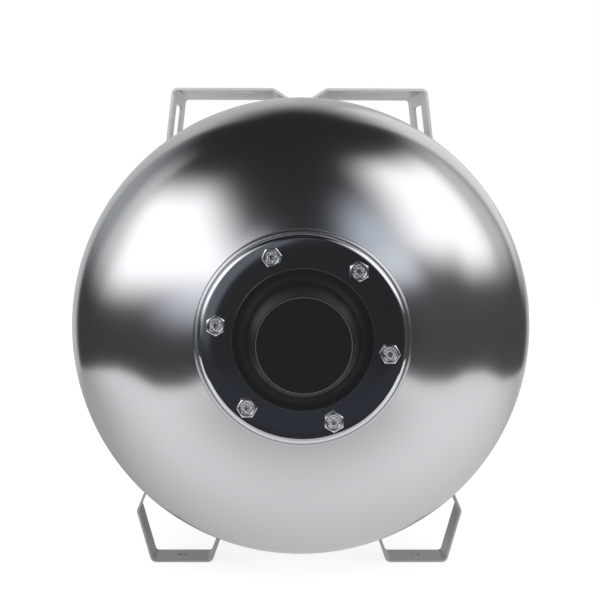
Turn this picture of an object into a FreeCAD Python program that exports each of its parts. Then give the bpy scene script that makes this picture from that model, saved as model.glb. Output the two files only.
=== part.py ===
import FreeCAD, Part
import Sketcher
import math
import os

# Horizontal stainless pressure tank with a rubber bladder, a bolted flange with a capped water port,
# an air valve at the rear, four bent strip feet and a bent sheet bracket for a pump.
# Millimetres. +Z is up and +Y runs along the tank, from the flange to the air valve.
# The origin is on the floor, in the middle of the tank's outline seen from above.
# Each piece has a local frame on the tank's axis, with y = 0 where its placement says.

SIZES = [
    ("shell_diameter", 350.0, "outside of barrel and heads"),
    ("ground_clearance", 20.5, "shell's lowest line above the floor"),
    ("axis_height", "=shell_diameter / 2 + ground_clearance", "tank axis above the floor"),
    ("shell_wall", 1.2, "sheet of barrel and heads"),
    ("body_length", 412.0, "between the tangent lines of the two heads"),
    ("head_depth", 88.0, "bulge of a head beyond its tangent line"),
    ("head_skirt", 20.0, "straight edge of a head, up to its weld seam"),
    ("seam_width", 5.0, "weld seam along the barrel's axis"),
    ("seam_rise", 0.4, "weld seam above the sheet"),
    ("mouth_bore", 94.0, "clear opening of the neck ring"),
    ("neck_wall", 4.0, "wall of the neck that passes through the head"),
    ("neck_standoff", 4.5, "neck ring's back to the head's highest point"),
    ("ring_diameter", 157.0, "outside of the neck ring"),
    ("ring_thickness", 6.0, "flange of the neck ring"),
    ("ring_chamfer", 0.8, "edge of the neck ring"),
    ("plate_diameter", 150.0, "outside of the counter-flange"),
    ("plate_sheet", 3.0, "sheet of the counter-flange"),
    ("plate_depth", 6.0, "height of the counter-flange with its turned-back rim"),
    ("plate_bend", 3.5, "outer radius of the counter-flange's rim"),
    ("bolt_circle", 125.0, "pitch circle of the flange bolts"),
    ("bolt_count", 6, "flange bolts"),
    ("bolt_phase", 20.8, "first bolt, degrees left of the top"),
    ("bolt_hole", 9.0, "holes for the flange bolts"),
    ("bolt_thread", 8.0, "outside of the bolts' thread"),
    ("bolt_length", 20.0, "bolt under its head"),
    ("bolt_point", 0.8, "chamfer at a bolt's end"),
    ("hex_flats", 13.0, "bolt heads and nuts across flats"),
    ("bolt_head", 5.3, "height of a bolt head"),
    ("nut_height", 6.5, "height of a weld nut"),
    ("thread_fit", 0.05, "nut and valve threads, radial"),
    ("port_thread", 33.25, "outside of the water port's thread"),
    ("port_bore", 25.0, "bore of the water port"),
    ("port_length", 22.0, "water port in front of the counter-flange"),
    ("port_chamfer", 1.5, "lead-in of the water port"),
    ("cap_top", 68.0, "front face of the port cap"),
    ("cap_root", 82.0, "foot of the cap's tapered wall"),
    ("cap_brim", 101.4, "outside of the cap's brim"),
    ("cap_height", 48.0, "port cap over all"),
    ("brim_height", 4.6, "cap's brim"),
    ("cap_wall", 2.2, "moulded wall of the cap"),
    ("cap_edge", 1.6, "rounding of the cap's front edge"),
    ("cap_fillet", 7.0, "hollow between the cap's wall and its brim"),
    ("cap_gap", 0.3, "under the cap's brim"),
    ("grip_fit", 0.15, "cap's inner sleeve on the water port, radial"),
    ("sleeve_wall", 2.0, "cap's inner sleeve"),
    ("rib_count", 6, "ribs inside the cap"),
    ("rib_thickness", 1.6, "ribs inside the cap"),
    ("rib_length", 20.0, "ribs inside the cap, from its front wall"),
    ("bag_neck", 92.0, "outside of the bladder's neck"),
    ("bag_collar", 112.0, "outside of the bladder's clamped collar"),
    ("bag_diameter", 250.0, "bladder's belly"),
    ("bag_length", 520.0, "bladder behind its collar"),
    ("bag_wall", 2.5, "rubber of the bladder"),
    ("bag_shoulder", 60.0, "rounding of the bladder's shoulder"),
    ("bag_end", 90.0, "rounding of the bladder's far end"),
    ("boss_diameter", 28.0, "outside of the valve boss"),
    ("boss_height", 4.0, "valve boss behind the rear head"),
    ("boss_spigot", 16.0, "part of the valve boss in the rear head"),
    ("spigot_length", 4.0, "part of the valve boss in the rear head"),
    ("valve_thread", 9.7, "valve stem's thread in its boss"),
    ("washer_diameter", 18.0, "seal under the valve stem"),
    ("washer_thickness", 1.5, "seal under the valve stem"),
    ("valve_flats", 14.0, "valve stem's hexagon across flats"),
    ("valve_hex", 4.5, "height of the valve stem's hexagon"),
    ("stem_diameter", 7.7, "valve stem under its cap"),
    ("stem_length", 14.0, "valve stem behind its hexagon"),
    ("core_diameter", 5.1, "valve core"),
    ("core_length", 9.0, "valve core"),
    ("core_sink", 1.0, "valve core below the stem's mouth"),
    ("air_bore", 3.4, "air passage of the valve stem"),
    ("spring_bore", 3.5, "spring chamber of the valve core"),
    ("spring_room", 5.0, "depth of the spring chamber"),
    ("pin_diameter", 1.3, "valve pin"),
    ("pin_fit", 0.06, "valve pin in its guide, radial"),
    ("pin_head", 2.9, "head of the valve pin"),
    ("pin_head_height", 0.8, "head of the valve pin"),
    ("pin_foot", 3.0, "seal disc at the inner end of the valve pin"),
    ("pin_foot_height", 1.2, "seal disc at the inner end of the valve pin"),
    ("seat_gap", 0.02, "between valve pin, spring and core"),
    ("spring_wire", 0.3, "wire of the valve spring"),
    ("spring_turns", 5, "turns of the valve spring"),
    ("spring_diameter", 2.4, "valve spring at the middle of its wire"),
    ("dust_diameter", 10.4, "dust cap of the air valve"),
    ("dust_length", 11.0, "dust cap of the air valve"),
    ("dust_end", 1.4, "closed end of the dust cap"),
    ("dust_fit", 0.1, "dust cap on the valve stem, radial"),
    ("dust_room", 0.3, "between the valve stem's mouth and the dust cap's end"),
    ("dust_grooves", 12, "grip grooves of the dust cap"),
    ("dust_groove", 1.0, "width of a grip groove"),
    ("bracket_width", 209.0, "pump bracket across its top corners"),
    ("bracket_length", 196.0, "pump bracket along the tank"),
    ("bracket_sheet", 2.0, "sheet of the pump bracket"),
    ("bracket_rise", 12.0, "pump bracket's top above the shell"),
    ("bracket_bend", 5.0, "outer radius of the bracket's top corners"),
    ("leg_overrun", 8.0, "leg's blank past its end, before it is cut to the shell"),
    ("leg_spread", 5.9, "bracket leg's foot outside the bracket's top corner"),
    ("dip_width", 43.0, "between the two pads of the bracket"),
    ("dip_floor", 12.0, "flat floor of the dip"),
    ("dip_bend", 3.0, "bends of the dip"),
    ("window_length", 84.0, "window in a bracket leg"),
    ("window_height", 30.0, "window in a bracket leg"),
    ("window_drop", 10.7, "window below the bracket's top"),
    ("window_corner", 3.0, "corners of the window"),
    ("slot_length", 49.0, "pump slots, over all"),
    ("slot_width", 9.0, "pump slots"),
    ("slot_across", 121.0, "pump slots, centre to centre across the tank"),
    ("slot_along", 134.0, "pump slots, centre to centre along the tank"),
    ("foot_sheet", 2.0, "strip of a foot"),
    ("foot_strip", 40.0, "width of a foot's strip"),
    ("foot_inner", 70.4, "inner edge of a foot's sole from the middle"),
    ("foot_outer", 119.0, "outer edge of a foot's sole from the middle"),
    ("knee_out", 131.0, "foot's widest point from the middle"),
    ("knee_height", 41.8, "foot's widest point above the floor"),
    ("foot_top_inner", 59.4, "foot's inner end on the shell, from the middle"),
    ("foot_top_outer", 120.0, "foot's outer end on the shell, from the middle"),
    ("foot_bend", 5.0, "outer radius of a foot's bends"),
    ("foot_flange", 16.0, "end of the strip that lies on the shell"),
    ("foot_hole", 9.0, "bolt hole in a foot's sole"),
    ("foot_spacing", 252.0, "foot holes along the tank"),
]

doc = FreeCAD.newDocument("pressure_tank")
nodes = []


def make_sheet():
    """The dimensions, one per row: what it is, its value or formula, and its alias."""
    sizes = doc.addObject("Spreadsheet::Sheet", "sizes")
    for row, (alias, size, note) in enumerate(SIZES, start=1):
        sizes.set("A%d" % row, note)
        sizes.set("B%d" % row, str(size))
        sizes.setAlias("B%d" % row, alias)
    doc.recompute()
    return sizes


sheet = make_sheet()

# Places that several pieces share, as expressions. Along the tank they count from the front face of
# the counter-flange, and across it from the tank's axis.
SHELL_R = "sizes.shell_diameter / 2"
INNER_R = "(sizes.shell_diameter / 2 - sizes.shell_wall)"
RING_FRONT = "sizes.plate_depth"
RING_BACK = "(sizes.plate_depth + sizes.ring_thickness)"
HEAD_TOP = "(%s + sizes.neck_standoff)" % RING_BACK
FRONT_TANGENT = "(%s + sizes.head_depth)" % HEAD_TOP
REAR_TANGENT = "(%s + sizes.body_length)" % FRONT_TANGENT
BODY_MIDDLE = "(%s + sizes.body_length / 2)" % FRONT_TANGENT
REAR_TOP = "(%s + sizes.head_depth)" % REAR_TANGENT
BOSS_FACE = "(%s + sizes.boss_height)" % REAR_TOP
STEM_SEAT = "(%s + sizes.washer_thickness)" % BOSS_FACE
STEM_MOUTH = "(%s + sizes.valve_hex + sizes.stem_length)" % STEM_SEAT
CORE_MOUTH = "(%s - sizes.core_sink)" % STEM_MOUTH
DUST_INNER_END = "(%s + sizes.dust_room)" % STEM_MOUTH
REAR_REACH = "(%s + sizes.dust_end)" % DUST_INNER_END
FRONT_REACH = "(sizes.cap_height + sizes.cap_gap)"
PLATE_Y = "(%s - %s) / 2" % (FRONT_REACH, REAR_REACH)


def value(expression):
    """The number that an expression of sheet sizes gives."""
    result = sheet.evalExpression(expression)
    return float(getattr(result, "Value", result))


def stand(piece, along):
    """Put a piece's local frame on the tank's axis, at a place along the tank."""
    piece.setExpression("Placement.Base.y", "%s + %s" % (PLATE_Y, along))
    piece.setExpression("Placement.Base.z", "sizes.axis_height")


def new_body(label, along="0", kept=True):
    body = doc.addObject("PartDesign::Body", label)
    body.Label = label
    stand(body, along)
    if kept:
        nodes.append(body)
    return body


def plane(body, role):
    return next(item for item in body.Origin.OriginFeatures if item.Role == role)


def new_sketch(body, name, role):
    sketch = body.newObject("Sketcher::SketchObject", name)
    sketch.AttachmentSupport = [(plane(body, role), "")]
    sketch.MapMode = "FlatFace"
    return sketch


def drive(sketch, kind, geometry, point, expression):
    """Hold one coordinate of a sketch point to an expression, counted from the sketch's origin."""
    size = value(expression)
    if expression == "0":
        axis = -2 if kind == "DistanceX" else -1
        sketch.addConstraint(Sketcher.Constraint("PointOnObject", geometry, point, axis))
        return
    index = sketch.addConstraint(Sketcher.Constraint(kind, -1, 1, geometry, point, size))
    sketch.setExpression("Constraints[%d]" % index, expression)


def draw_outline(sketch, corners):
    """A closed polygon whose corners are pairs of expressions."""
    points = [FreeCAD.Vector(value(across), value(up), 0) for across, up in corners]
    count = len(points)
    first = sketch.GeometryCount
    for index in range(count):
        sketch.addGeometry(Part.LineSegment(points[index], points[(index + 1) % count]))
    for index in range(count):
        following = first + (index + 1) % count
        sketch.addConstraint(Sketcher.Constraint("Coincident", first + index, 2, following, 1))
    for index, (across, up) in enumerate(corners):
        drive(sketch, "DistanceX", first + index, 1, across)
        drive(sketch, "DistanceY", first + index, 1, up)


def draw_circle(sketch, diameter, across="0", up="0"):
    centre = FreeCAD.Vector(value(across), value(up), 0)
    geometry = sketch.addGeometry(Part.Circle(centre, FreeCAD.Vector(0, 0, 1), value(diameter) / 2))
    drive(sketch, "DistanceX", geometry, 3, across)
    drive(sketch, "DistanceY", geometry, 3, up)
    index = sketch.addConstraint(Sketcher.Constraint("Diameter", geometry, value(diameter)))
    sketch.setExpression("Constraints[%d]" % index, diameter)


def draw_box(sketch, low_across, low_up, high_across, high_up):
    draw_outline(sketch, [(low_across, low_up), (high_across, low_up),
                          (high_across, high_up), (low_across, high_up)])


def hexagon(flats):
    """Corners of a hexagon round the origin, as expressions."""
    corners = []
    for index in range(6):
        turn = 60 * index + 30
        across = "%s / 2 / cos(30) * cos(%d)" % (flats, turn)
        up = "%s / 2 / cos(30) * sin(%d)" % (flats, turn)
        corners.append(("0" if turn % 180 == 90 else across, up))
    return corners


def turned(body, name, corners):
    """A piece turned round the tank's axis. Corners are pairs: along the axis, and radius."""
    sketch = new_sketch(body, name + "_profile", "YZ_Plane")
    draw_outline(sketch, corners)
    revolution = body.newObject("PartDesign::Revolution", name)
    revolution.Profile = sketch
    revolution.ReferenceAxis = (sketch, ["H_Axis"])
    revolution.Angle = 360
    doc.recompute()
    return revolution


def turned_cut(body, name, corners):
    """A cut turned round the tank's axis."""
    sketch = new_sketch(body, name + "_profile", "YZ_Plane")
    draw_outline(sketch, corners)
    groove = body.newObject("PartDesign::Groove", name)
    groove.Profile = sketch
    groove.ReferenceAxis = (sketch, ["H_Axis"])
    groove.Angle = 360
    doc.recompute()
    return groove


def padded(body, name, sketch, length, rearward=False, both_ways=False):
    """Material that grows from a sketch on the XZ plane, towards the front unless told otherwise."""
    pad = body.newObject("PartDesign::Pad", name)
    pad.Profile = sketch
    pad.setExpression("Length", length)
    pad.Reversed = rearward
    pad.Midplane = both_ways
    doc.recompute()
    return pad


def cut_through(body, name, sketch):
    """A cut both ways through the whole piece, which has to take some material away."""
    before = body.Tip.Shape.Volume
    pocket = body.newObject("PartDesign::Pocket", name)
    pocket.Profile = sketch
    pocket.Type = "ThroughAll"
    pocket.Midplane = True
    doc.recompute()
    if not pocket.Shape.Volume < before:
        raise ValueError("%s cuts nothing" % name)
    return pocket


def cut_both_ways(body, name, sketch, length):
    """A cut of a given length, half on each side of its sketch."""
    pocket = body.newObject("PartDesign::Pocket", name)
    pocket.Profile = sketch
    pocket.setExpression("Length", length)
    pocket.Midplane = True
    doc.recompute()
    return pocket


def mirrored(body, name, features, role):
    """The same features on the other side of one of the body's planes."""
    mirror = body.newObject("PartDesign::Mirrored", name)
    mirror.Originals = features
    mirror.MirrorPlane = (plane(body, role), [""])
    body.Tip = mirror
    doc.recompute()
    return mirror


def edges_where(shape, test):
    """Names of the edges whose middle point passes a test."""
    found = []
    for index, edge in enumerate(shape.Edges, start=1):
        middle = edge.valueAt((edge.FirstParameter + edge.LastParameter) / 2)
        if test(edge, middle):
            found.append("Edge%d" % index)
    return found


def faces_where(shape, test):
    """Names of the faces whose centre passes a test."""
    return ["Face%d" % index for index, face in enumerate(shape.Faces, start=1)
            if test(face, face.CenterOfMass)]


def rounded(body, name, edges, radius):
    base = body.Tip
    fillet = body.newObject("PartDesign::Fillet", name)
    fillet.Base = (base, edges)
    fillet.setExpression("Radius", radius)
    doc.recompute()
    return fillet


def chamfered(body, name, edges, size):
    base = body.Tip
    chamfer = body.newObject("PartDesign::Chamfer", name)
    chamfer.Base = (base, edges)
    chamfer.setExpression("Size", size)
    doc.recompute()
    return chamfer


def hollowed(body, name, open_faces, wall):
    """Leave a wall of even thickness inside the outline, open at the given faces."""
    base = body.Tip
    shell = body.newObject("PartDesign::Thickness", name)
    shell.Base = (base, open_faces)
    shell.setExpression("Value", wall)
    shell.Reversed = True
    shell.Mode = "Skin"
    shell.Join = "Intersection"
    doc.recompute()
    return shell


def repeated(body, name, features, count):
    """Copies of features all round the tank's axis."""
    pattern = body.newObject("PartDesign::PolarPattern", name)
    pattern.Originals = features
    pattern.Axis = (plane(body, "Y_Axis"), [""])
    pattern.Angle = 360
    pattern.setExpression("Occurrences", count)
    body.Tip = pattern
    doc.recompute()
    return pattern


def near(first, second, within=0.01):
    return abs(first - second) < within


def radius_of(point):
    """Distance of a point from the tank's axis."""
    return math.hypot(point.x, point.z)


def make_head(label, along, facing):
    """A dished head: half an ellipsoid of sheet on a straight skirt, with half a weld seam on its edge.

    facing is -1 for a head that bulges towards the front, and 1 towards the rear.
    """
    body = new_body(label, along)
    bulge = {-1: (0, 90), 1: (-90, 0)}[facing]
    for kind, wall in (("Additive", "0"), ("Subtractive", "sizes.shell_wall")):
        dish = body.newObject("PartDesign::%sEllipsoid" % kind, "%s_%s_dish" % (label, kind.lower()))
        dish.AttachmentSupport = [(plane(body, "XZ_Plane"), "")]
        dish.MapMode = "FlatFace"
        dish.setExpression("Radius1", "sizes.head_depth - %s" % wall)
        dish.setExpression("Radius2", "%s - %s" % (SHELL_R, wall))
        dish.setExpression("Radius3", "%s - %s" % (SHELL_R, wall))
        dish.Angle1, dish.Angle2 = bulge
        doc.recompute()
    skirt_end = "%d * sizes.head_skirt" % -facing
    seam_start = "%d * (sizes.head_skirt - sizes.seam_width / 2)" % -facing
    turned(body, label + "_skirt", [
        ("0", INNER_R), (skirt_end, INNER_R), (skirt_end, "%s + sizes.seam_rise" % SHELL_R),
        (seam_start, SHELL_R), ("0", SHELL_R)])
    return body


def make_front_head():
    body = make_head("front_head", FRONT_TANGENT, -1)
    sketch = new_sketch(body, "mouth_outline", "XZ_Plane")
    draw_circle(sketch, "sizes.mouth_bore + 2 * sizes.neck_wall")
    cut_through(body, "mouth", sketch)


def make_rear_head():
    body = make_head("rear_head", REAR_TANGENT, 1)
    sketch = new_sketch(body, "valve_hole_outline", "XZ_Plane")
    draw_circle(sketch, "sizes.boss_spigot")
    cut_through(body, "valve_hole", sketch)


def make_barrel():
    """The rolled shell between the two heads' weld seams, with the other half of each seam."""
    body = new_body("barrel", BODY_MIDDLE)
    half = "(sizes.body_length / 2 - sizes.head_skirt)"
    inset = "(%s - sizes.seam_width / 2)" % half
    crest = "%s + sizes.seam_rise" % SHELL_R
    turned(body, "barrel_wall", [
        ("-1 * " + half, INNER_R), (half, INNER_R), (half, crest), (inset, SHELL_R),
        ("-1 * " + inset, SHELL_R), ("-1 * " + half, crest)])


def bolt_ring(body, name, diameter):
    """One hole on the bolt circle, repeated."""
    sketch = new_sketch(body, name + "_outline", "XZ_Plane")
    radius = "sizes.bolt_circle / 2"
    draw_circle(sketch, diameter, "%s * sin(-1 * sizes.bolt_phase)" % radius,
                "%s * cos(sizes.bolt_phase)" % radius)
    hole = cut_through(body, name, sketch)
    repeated(body, name + "s", [hole], "sizes.bolt_count")


def make_neck_ring():
    """A turned ring whose neck passes through the head and is welded in it."""
    body = new_body("neck_ring", RING_FRONT)
    neck = "(sizes.mouth_bore / 2 + sizes.neck_wall)"
    drop = "sizes.head_depth * (1 - sqrt(1 - pow(2 * %s / sizes.shell_diameter; 2)))" % neck
    end = "sizes.ring_thickness + sizes.neck_standoff + %s + 2 * sizes.shell_wall" % drop
    turned(body, "ring_profile", [
        ("0", "sizes.mouth_bore / 2"), (end, "sizes.mouth_bore / 2"), (end, neck),
        ("sizes.ring_thickness", neck), ("sizes.ring_thickness", "sizes.ring_diameter / 2"),
        ("0", "sizes.ring_diameter / 2")])
    rim = value("sizes.ring_diameter / 2")
    edges = edges_where(body.Tip.Shape, lambda edge, point: near(radius_of(point), rim)
                        and len(edge.Vertexes) == 1)
    chamfered(body, "ring_edges", edges, "sizes.ring_chamfer")
    bolt_ring(body, "ring_hole", "sizes.bolt_hole")


def make_counter_flange():
    """A pressed plate with a turned-back rim. The rim's edge bears on the neck ring."""
    body = new_body("counter_flange")
    turned(body, "plate_blank", [
        ("0", "0"), ("sizes.plate_depth", "0"), ("sizes.plate_depth", "sizes.plate_diameter / 2"),
        ("0", "sizes.plate_diameter / 2")])
    rim = value("sizes.plate_diameter / 2")
    depth = value("sizes.plate_depth")
    edges = edges_where(body.Tip.Shape, lambda edge, point: near(radius_of(point), rim)
                        and near(point.y, 0) and len(edge.Vertexes) == 1)
    rounded(body, "plate_rim", edges, "sizes.plate_bend")
    back = faces_where(body.Tip.Shape, lambda face, centre: near(centre.y, depth))
    hollowed(body, "plate_press", back, "sizes.plate_sheet")
    sketch = new_sketch(body, "port_hole_outline", "XZ_Plane")
    draw_circle(sketch, "sizes.port_thread")
    cut_through(body, "port_hole", sketch)
    bolt_ring(body, "plate_hole", "sizes.bolt_hole")


def make_port_socket():
    """A threaded pipe stub, welded in the counter-flange and flush with its back."""
    body = new_body("port_socket")
    outer = "sizes.port_thread / 2"
    bore = "sizes.port_bore / 2"
    front = "-1 * sizes.port_length"
    turned(body, "stub", [
        (front, bore), ("sizes.plate_sheet", bore), ("sizes.plate_sheet", outer),
        (front + " + sizes.port_chamfer", outer), (front, outer + " - sizes.port_chamfer")])


# A hexagon's chamfer as shares of its width across flats: the flat circle left on its face,
# a radius past its corners, and how far down that radius lies.
FACE_SHARE = 0.47
CORNER_SHARE = 0.7
DROP_SHARE = 0.1


def hex_blank(body, name, flats, height, rearward):
    """A hexagon prism, its corners cut back to a cone at the face away from the sketch."""
    sketch = new_sketch(body, name + "_outline", "XZ_Plane")
    draw_outline(sketch, hexagon(flats))
    padded(body, name, sketch, height, rearward)
    side = "" if rearward else "-1 * "
    face = side + height
    past = "%s * %s" % (flats, CORNER_SHARE)
    shoulder = "%s(%s - %s * %s)" % (side, height, flats, DROP_SHARE)
    turned_cut(body, name + "_chamfer", [
        (face, "%s * %s" % (flats, FACE_SHARE)), (face, past), (shoulder, past)])


def group_on_circle(label, master, turns):
    """Copies of one fastener on the bolt circle, each turned by its own angle, as one node."""
    copies = []
    axis = FreeCAD.Vector(0, 1, 0)
    for index in range(int(value("sizes.bolt_count"))):
        spin = turns[index % len(turns)]
        phase = value("360 / sizes.bolt_count") * index - value("sizes.bolt_phase")
        copy = master.Shape.copy()
        copy.Placement = FreeCAD.Placement()
        copy.rotate(FreeCAD.Vector(), axis, spin)
        copy.translate(FreeCAD.Vector(0, 0, value("sizes.bolt_circle / 2")))
        copy.rotate(FreeCAD.Vector(), axis, phase)
        copies.append(copy)
    group = doc.addObject("Part::Feature", label)
    group.Label = label
    group.Shape = Part.makeCompound(copies)
    group.Placement = master.Placement
    stand(group, "0" if label == "flange_bolts" else RING_BACK)
    nodes.append(group)


# How far each bolt head happens to be turned when it is tight, in degrees.
HEAD_TURNS = (51.6, 19.9, -8.4, 21.5, -10.1, 20.2)
NUT_TURNS = (0.0,)


def make_flange_bolts():
    """Hexagon bolts, put through from the front."""
    body = new_body("bolt", kept=False)
    hex_blank(body, "bolt_hexagon", "sizes.hex_flats", "sizes.bolt_head", False)
    sketch = new_sketch(body, "bolt_shank_outline", "XZ_Plane")
    draw_circle(sketch, "sizes.bolt_thread")
    padded(body, "bolt_shank", sketch, "sizes.bolt_length", rearward=True)
    length = value("sizes.bolt_length")
    tip = edges_where(body.Tip.Shape, lambda edge, point: near(point.y, length)
                      and len(edge.Vertexes) == 1)
    chamfered(body, "bolt_end", tip, "sizes.bolt_point")
    group_on_circle("flange_bolts", body, HEAD_TURNS)


def make_weld_nuts():
    """Nuts welded on the back of the neck ring."""
    body = new_body("nut", RING_BACK, kept=False)
    hex_blank(body, "nut_hexagon", "sizes.hex_flats", "sizes.nut_height", True)
    sketch = new_sketch(body, "nut_thread_outline", "XZ_Plane")
    draw_circle(sketch, "sizes.bolt_thread + 2 * sizes.thread_fit")
    cut_through(body, "nut_thread", sketch)
    group_on_circle("weld_nuts", body, NUT_TURNS)


def make_port_cap():
    """The outside of the moulded cap: a tapered hat with a brim."""
    body = new_body("port_cap", "-1 * sizes.cap_gap")
    top = "-1 * sizes.cap_height"
    brim = "-1 * sizes.brim_height"
    turned(body, "cap_blank", [
        ("0", "0"), ("0", "sizes.cap_brim / 2"), (brim, "sizes.cap_brim / 2"),
        (brim, "sizes.cap_root / 2"), (top, "sizes.cap_top / 2"), (top, "0")])
    front = value(top)
    step = value(brim)
    root = value("sizes.cap_root / 2")
    rim = value("sizes.cap_brim / 2")
    edges = edges_where(body.Tip.Shape, lambda edge, point: near(point.y, step)
                        and near(radius_of(point), root) and len(edge.Vertexes) == 1)
    rounded(body, "cap_hollow", edges, "sizes.cap_fillet")
    back = faces_where(body.Tip.Shape, lambda face, centre: near(centre.y, 0))
    hollowed(body, "cap_walls", back, "sizes.cap_wall")
    edges = edges_where(body.Tip.Shape, lambda edge, point: near(point.y, front)
                        and len(edge.Vertexes) == 1)
    rounded(body, "cap_front_edge", edges, "sizes.cap_edge")
    edges = edges_where(body.Tip.Shape, lambda edge, point: near(point.y, step)
                        and near(radius_of(point), rim) and len(edge.Vertexes) == 1)
    rounded(body, "cap_brim_edge", edges, "sizes.cap_edge / 2")


def make_port_cap_sleeve():
    """The inside of the cap: a sleeve that grips the port and stands on the cap's front, with ribs."""
    body = new_body("port_cap_sleeve", "-1 * sizes.cap_gap")
    bore = "(sizes.port_thread / 2 + sizes.grip_fit)"
    inside = "-1 * (sizes.cap_height - sizes.cap_wall)"
    mouth = "-1 * sizes.cap_wall"
    turned(body, "cap_sleeve", [
        (inside, bore), (mouth, bore), (mouth, bore + " + sizes.sleeve_wall"),
        (inside, bore + " + sizes.sleeve_wall")])
    sketch = new_sketch(body, "cap_rib_outline", "YZ_Plane")
    draw_box(sketch, inside, bore + " + sizes.sleeve_wall / 2", inside + " + sizes.rib_length",
             "(sizes.cap_top / 2 - sizes.cap_wall)")
    rib = padded(body, "cap_rib", sketch, "sizes.rib_thickness", both_ways=True)
    repeated(body, "cap_ribs", [rib], "sizes.rib_count")


def make_bladder():
    """A rubber bag with a rounded shoulder and end. Its collar is clamped at the mouth."""
    body = new_body("bladder", RING_FRONT)
    start = "sizes.plate_sheet - sizes.plate_depth"
    neck = "sizes.bag_neck / 2"
    belly = "sizes.bag_diameter / 2"
    slope = "(%s - %s)" % (belly, neck)
    shoulder = "sizes.bag_shoulder"
    turned(body, "bag_blank", [
        (start, "0"), (start, neck), (shoulder + " / 2", neck),
        ("%s / 2 + %s" % (shoulder, slope), belly), ("sizes.bag_length", belly),
        ("sizes.bag_length", "0")])
    bend_y = value(shoulder + " / 2 + " + slope)
    far = value("sizes.bag_length")
    edges = edges_where(body.Tip.Shape, lambda edge, point: near(point.y, bend_y)
                        and len(edge.Vertexes) == 1)
    rounded(body, "bag_shoulder_bend", edges, "sizes.bag_shoulder")
    edges = edges_where(body.Tip.Shape, lambda edge, point: near(point.y, far)
                        and len(edge.Vertexes) == 1)
    rounded(body, "bag_end_bend", edges, "sizes.bag_end")
    begin = value(start)
    mouth = faces_where(body.Tip.Shape, lambda face, centre: near(centre.y, begin))
    hollowed(body, "bag_walls", mouth, "sizes.bag_wall")
    turned(body, "bag_collar_ring", [
        (start, neck + " - sizes.bag_wall"), ("0", neck + " - sizes.bag_wall"),
        ("0", "sizes.bag_collar / 2"), (start, "sizes.bag_collar / 2")])


def make_valve_boss():
    """A turned bush, its spigot through the rear head and its face ready for the air valve."""
    body = new_body("valve_boss", REAR_TOP)
    bore = "(sizes.valve_thread / 2 + sizes.thread_fit)"
    turned(body, "boss_profile", [
        ("-1 * sizes.spigot_length", bore), ("sizes.boss_height", bore),
        ("sizes.boss_height", "sizes.boss_diameter / 2"), ("0", "sizes.boss_diameter / 2"),
        ("0", "sizes.boss_spigot / 2"), ("-1 * sizes.spigot_length", "sizes.boss_spigot / 2")])


def make_valve_washer():
    body = new_body("valve_washer", BOSS_FACE)
    bore = "sizes.valve_thread / 2 + sizes.thread_fit"
    turned(body, "washer_profile", [
        ("0", bore), ("sizes.washer_thickness", bore),
        ("sizes.washer_thickness", "sizes.washer_diameter / 2"), ("0", "sizes.washer_diameter / 2")])


def make_valve_stem():
    """The air valve's body: a threaded shank, a hexagon, and a tube that holds the core."""
    body = new_body("valve_stem", STEM_SEAT)
    hex_blank(body, "stem_hexagon", "sizes.valve_flats", "sizes.valve_hex", True)
    shank = "-1 * (sizes.washer_thickness + sizes.boss_height + sizes.spigot_length)"
    mouth = "(sizes.valve_hex + sizes.stem_length)"
    socket = "%s - sizes.core_sink - sizes.core_length - sizes.pin_foot_height * 3" % mouth
    core = "sizes.core_diameter / 2"
    turned(body, "stem_body", [
        (shank, "sizes.air_bore / 2"), (mouth, "sizes.air_bore / 2"),
        (mouth, "sizes.stem_diameter / 2"), ("sizes.valve_hex / 2", "sizes.stem_diameter / 2"),
        ("sizes.valve_hex / 2", "sizes.valve_thread / 2"), (shank, "sizes.valve_thread / 2")])
    turned_cut(body, "stem_bore", [
        (shank + " - 1", "0"), (mouth + " + 1", "0"), (mouth + " + 1", core), (socket, core),
        (socket, "sizes.air_bore / 2"), (shank + " - 1", "sizes.air_bore / 2")])


def make_valve_core():
    """The insert that guides the valve pin, with a chamber for its spring."""
    body = new_body("valve_core", CORE_MOUTH)
    guide = "(sizes.pin_diameter / 2 + sizes.pin_fit)"
    floor = "-1 * sizes.spring_room"
    end = "-1 * sizes.core_length"
    turned(body, "core_profile", [
        ("0", "sizes.spring_bore / 2"), (floor, "sizes.spring_bore / 2"), (floor, guide),
        (end, guide), (end, "sizes.core_diameter / 2"), ("0", "sizes.core_diameter / 2")])


def make_valve_pin():
    """The pin: a head that a gauge presses, a rod, and a seal disc that closes the core."""
    body = new_body("valve_pin", CORE_MOUTH)
    rod = "sizes.pin_diameter / 2"
    head = "sizes.pin_head / 2"
    foot = "sizes.pin_foot / 2"
    seat = "-1 * (sizes.core_length + sizes.seat_gap)"
    turned(body, "pin_profile", [
        ("0", "0"), ("0", head), ("-1 * sizes.pin_head_height", head),
        ("-1 * sizes.pin_head_height", rod), (seat, rod), (seat, foot),
        (seat + " - sizes.pin_foot_height", foot), (seat + " - sizes.pin_foot_height", "0")])


def make_valve_spring():
    """A wire helix between the core's chamber floor and the pin's head."""
    body = new_body("valve_spring", CORE_MOUTH)
    radius = "sizes.spring_diameter / 2"
    low = "(sizes.spring_room - sizes.seat_gap - sizes.spring_wire / 2)"
    high = "(sizes.pin_head_height + sizes.seat_gap + sizes.spring_wire / 2)"
    sketch = new_sketch(body, "spring_wire_outline", "YZ_Plane")
    draw_circle(sketch, "sizes.spring_wire", "-1 * " + low, radius)
    helix = body.newObject("PartDesign::AdditiveHelix", "spring_helix")
    helix.Profile = sketch
    helix.ReferenceAxis = (sketch, ["H_Axis"])
    helix.Mode = "height-turns-angle"
    helix.setExpression("Height", "%s - %s" % (low, high))
    helix.setExpression("Turns", "sizes.spring_turns")
    helix.Angle = 0
    doc.recompute()


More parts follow.
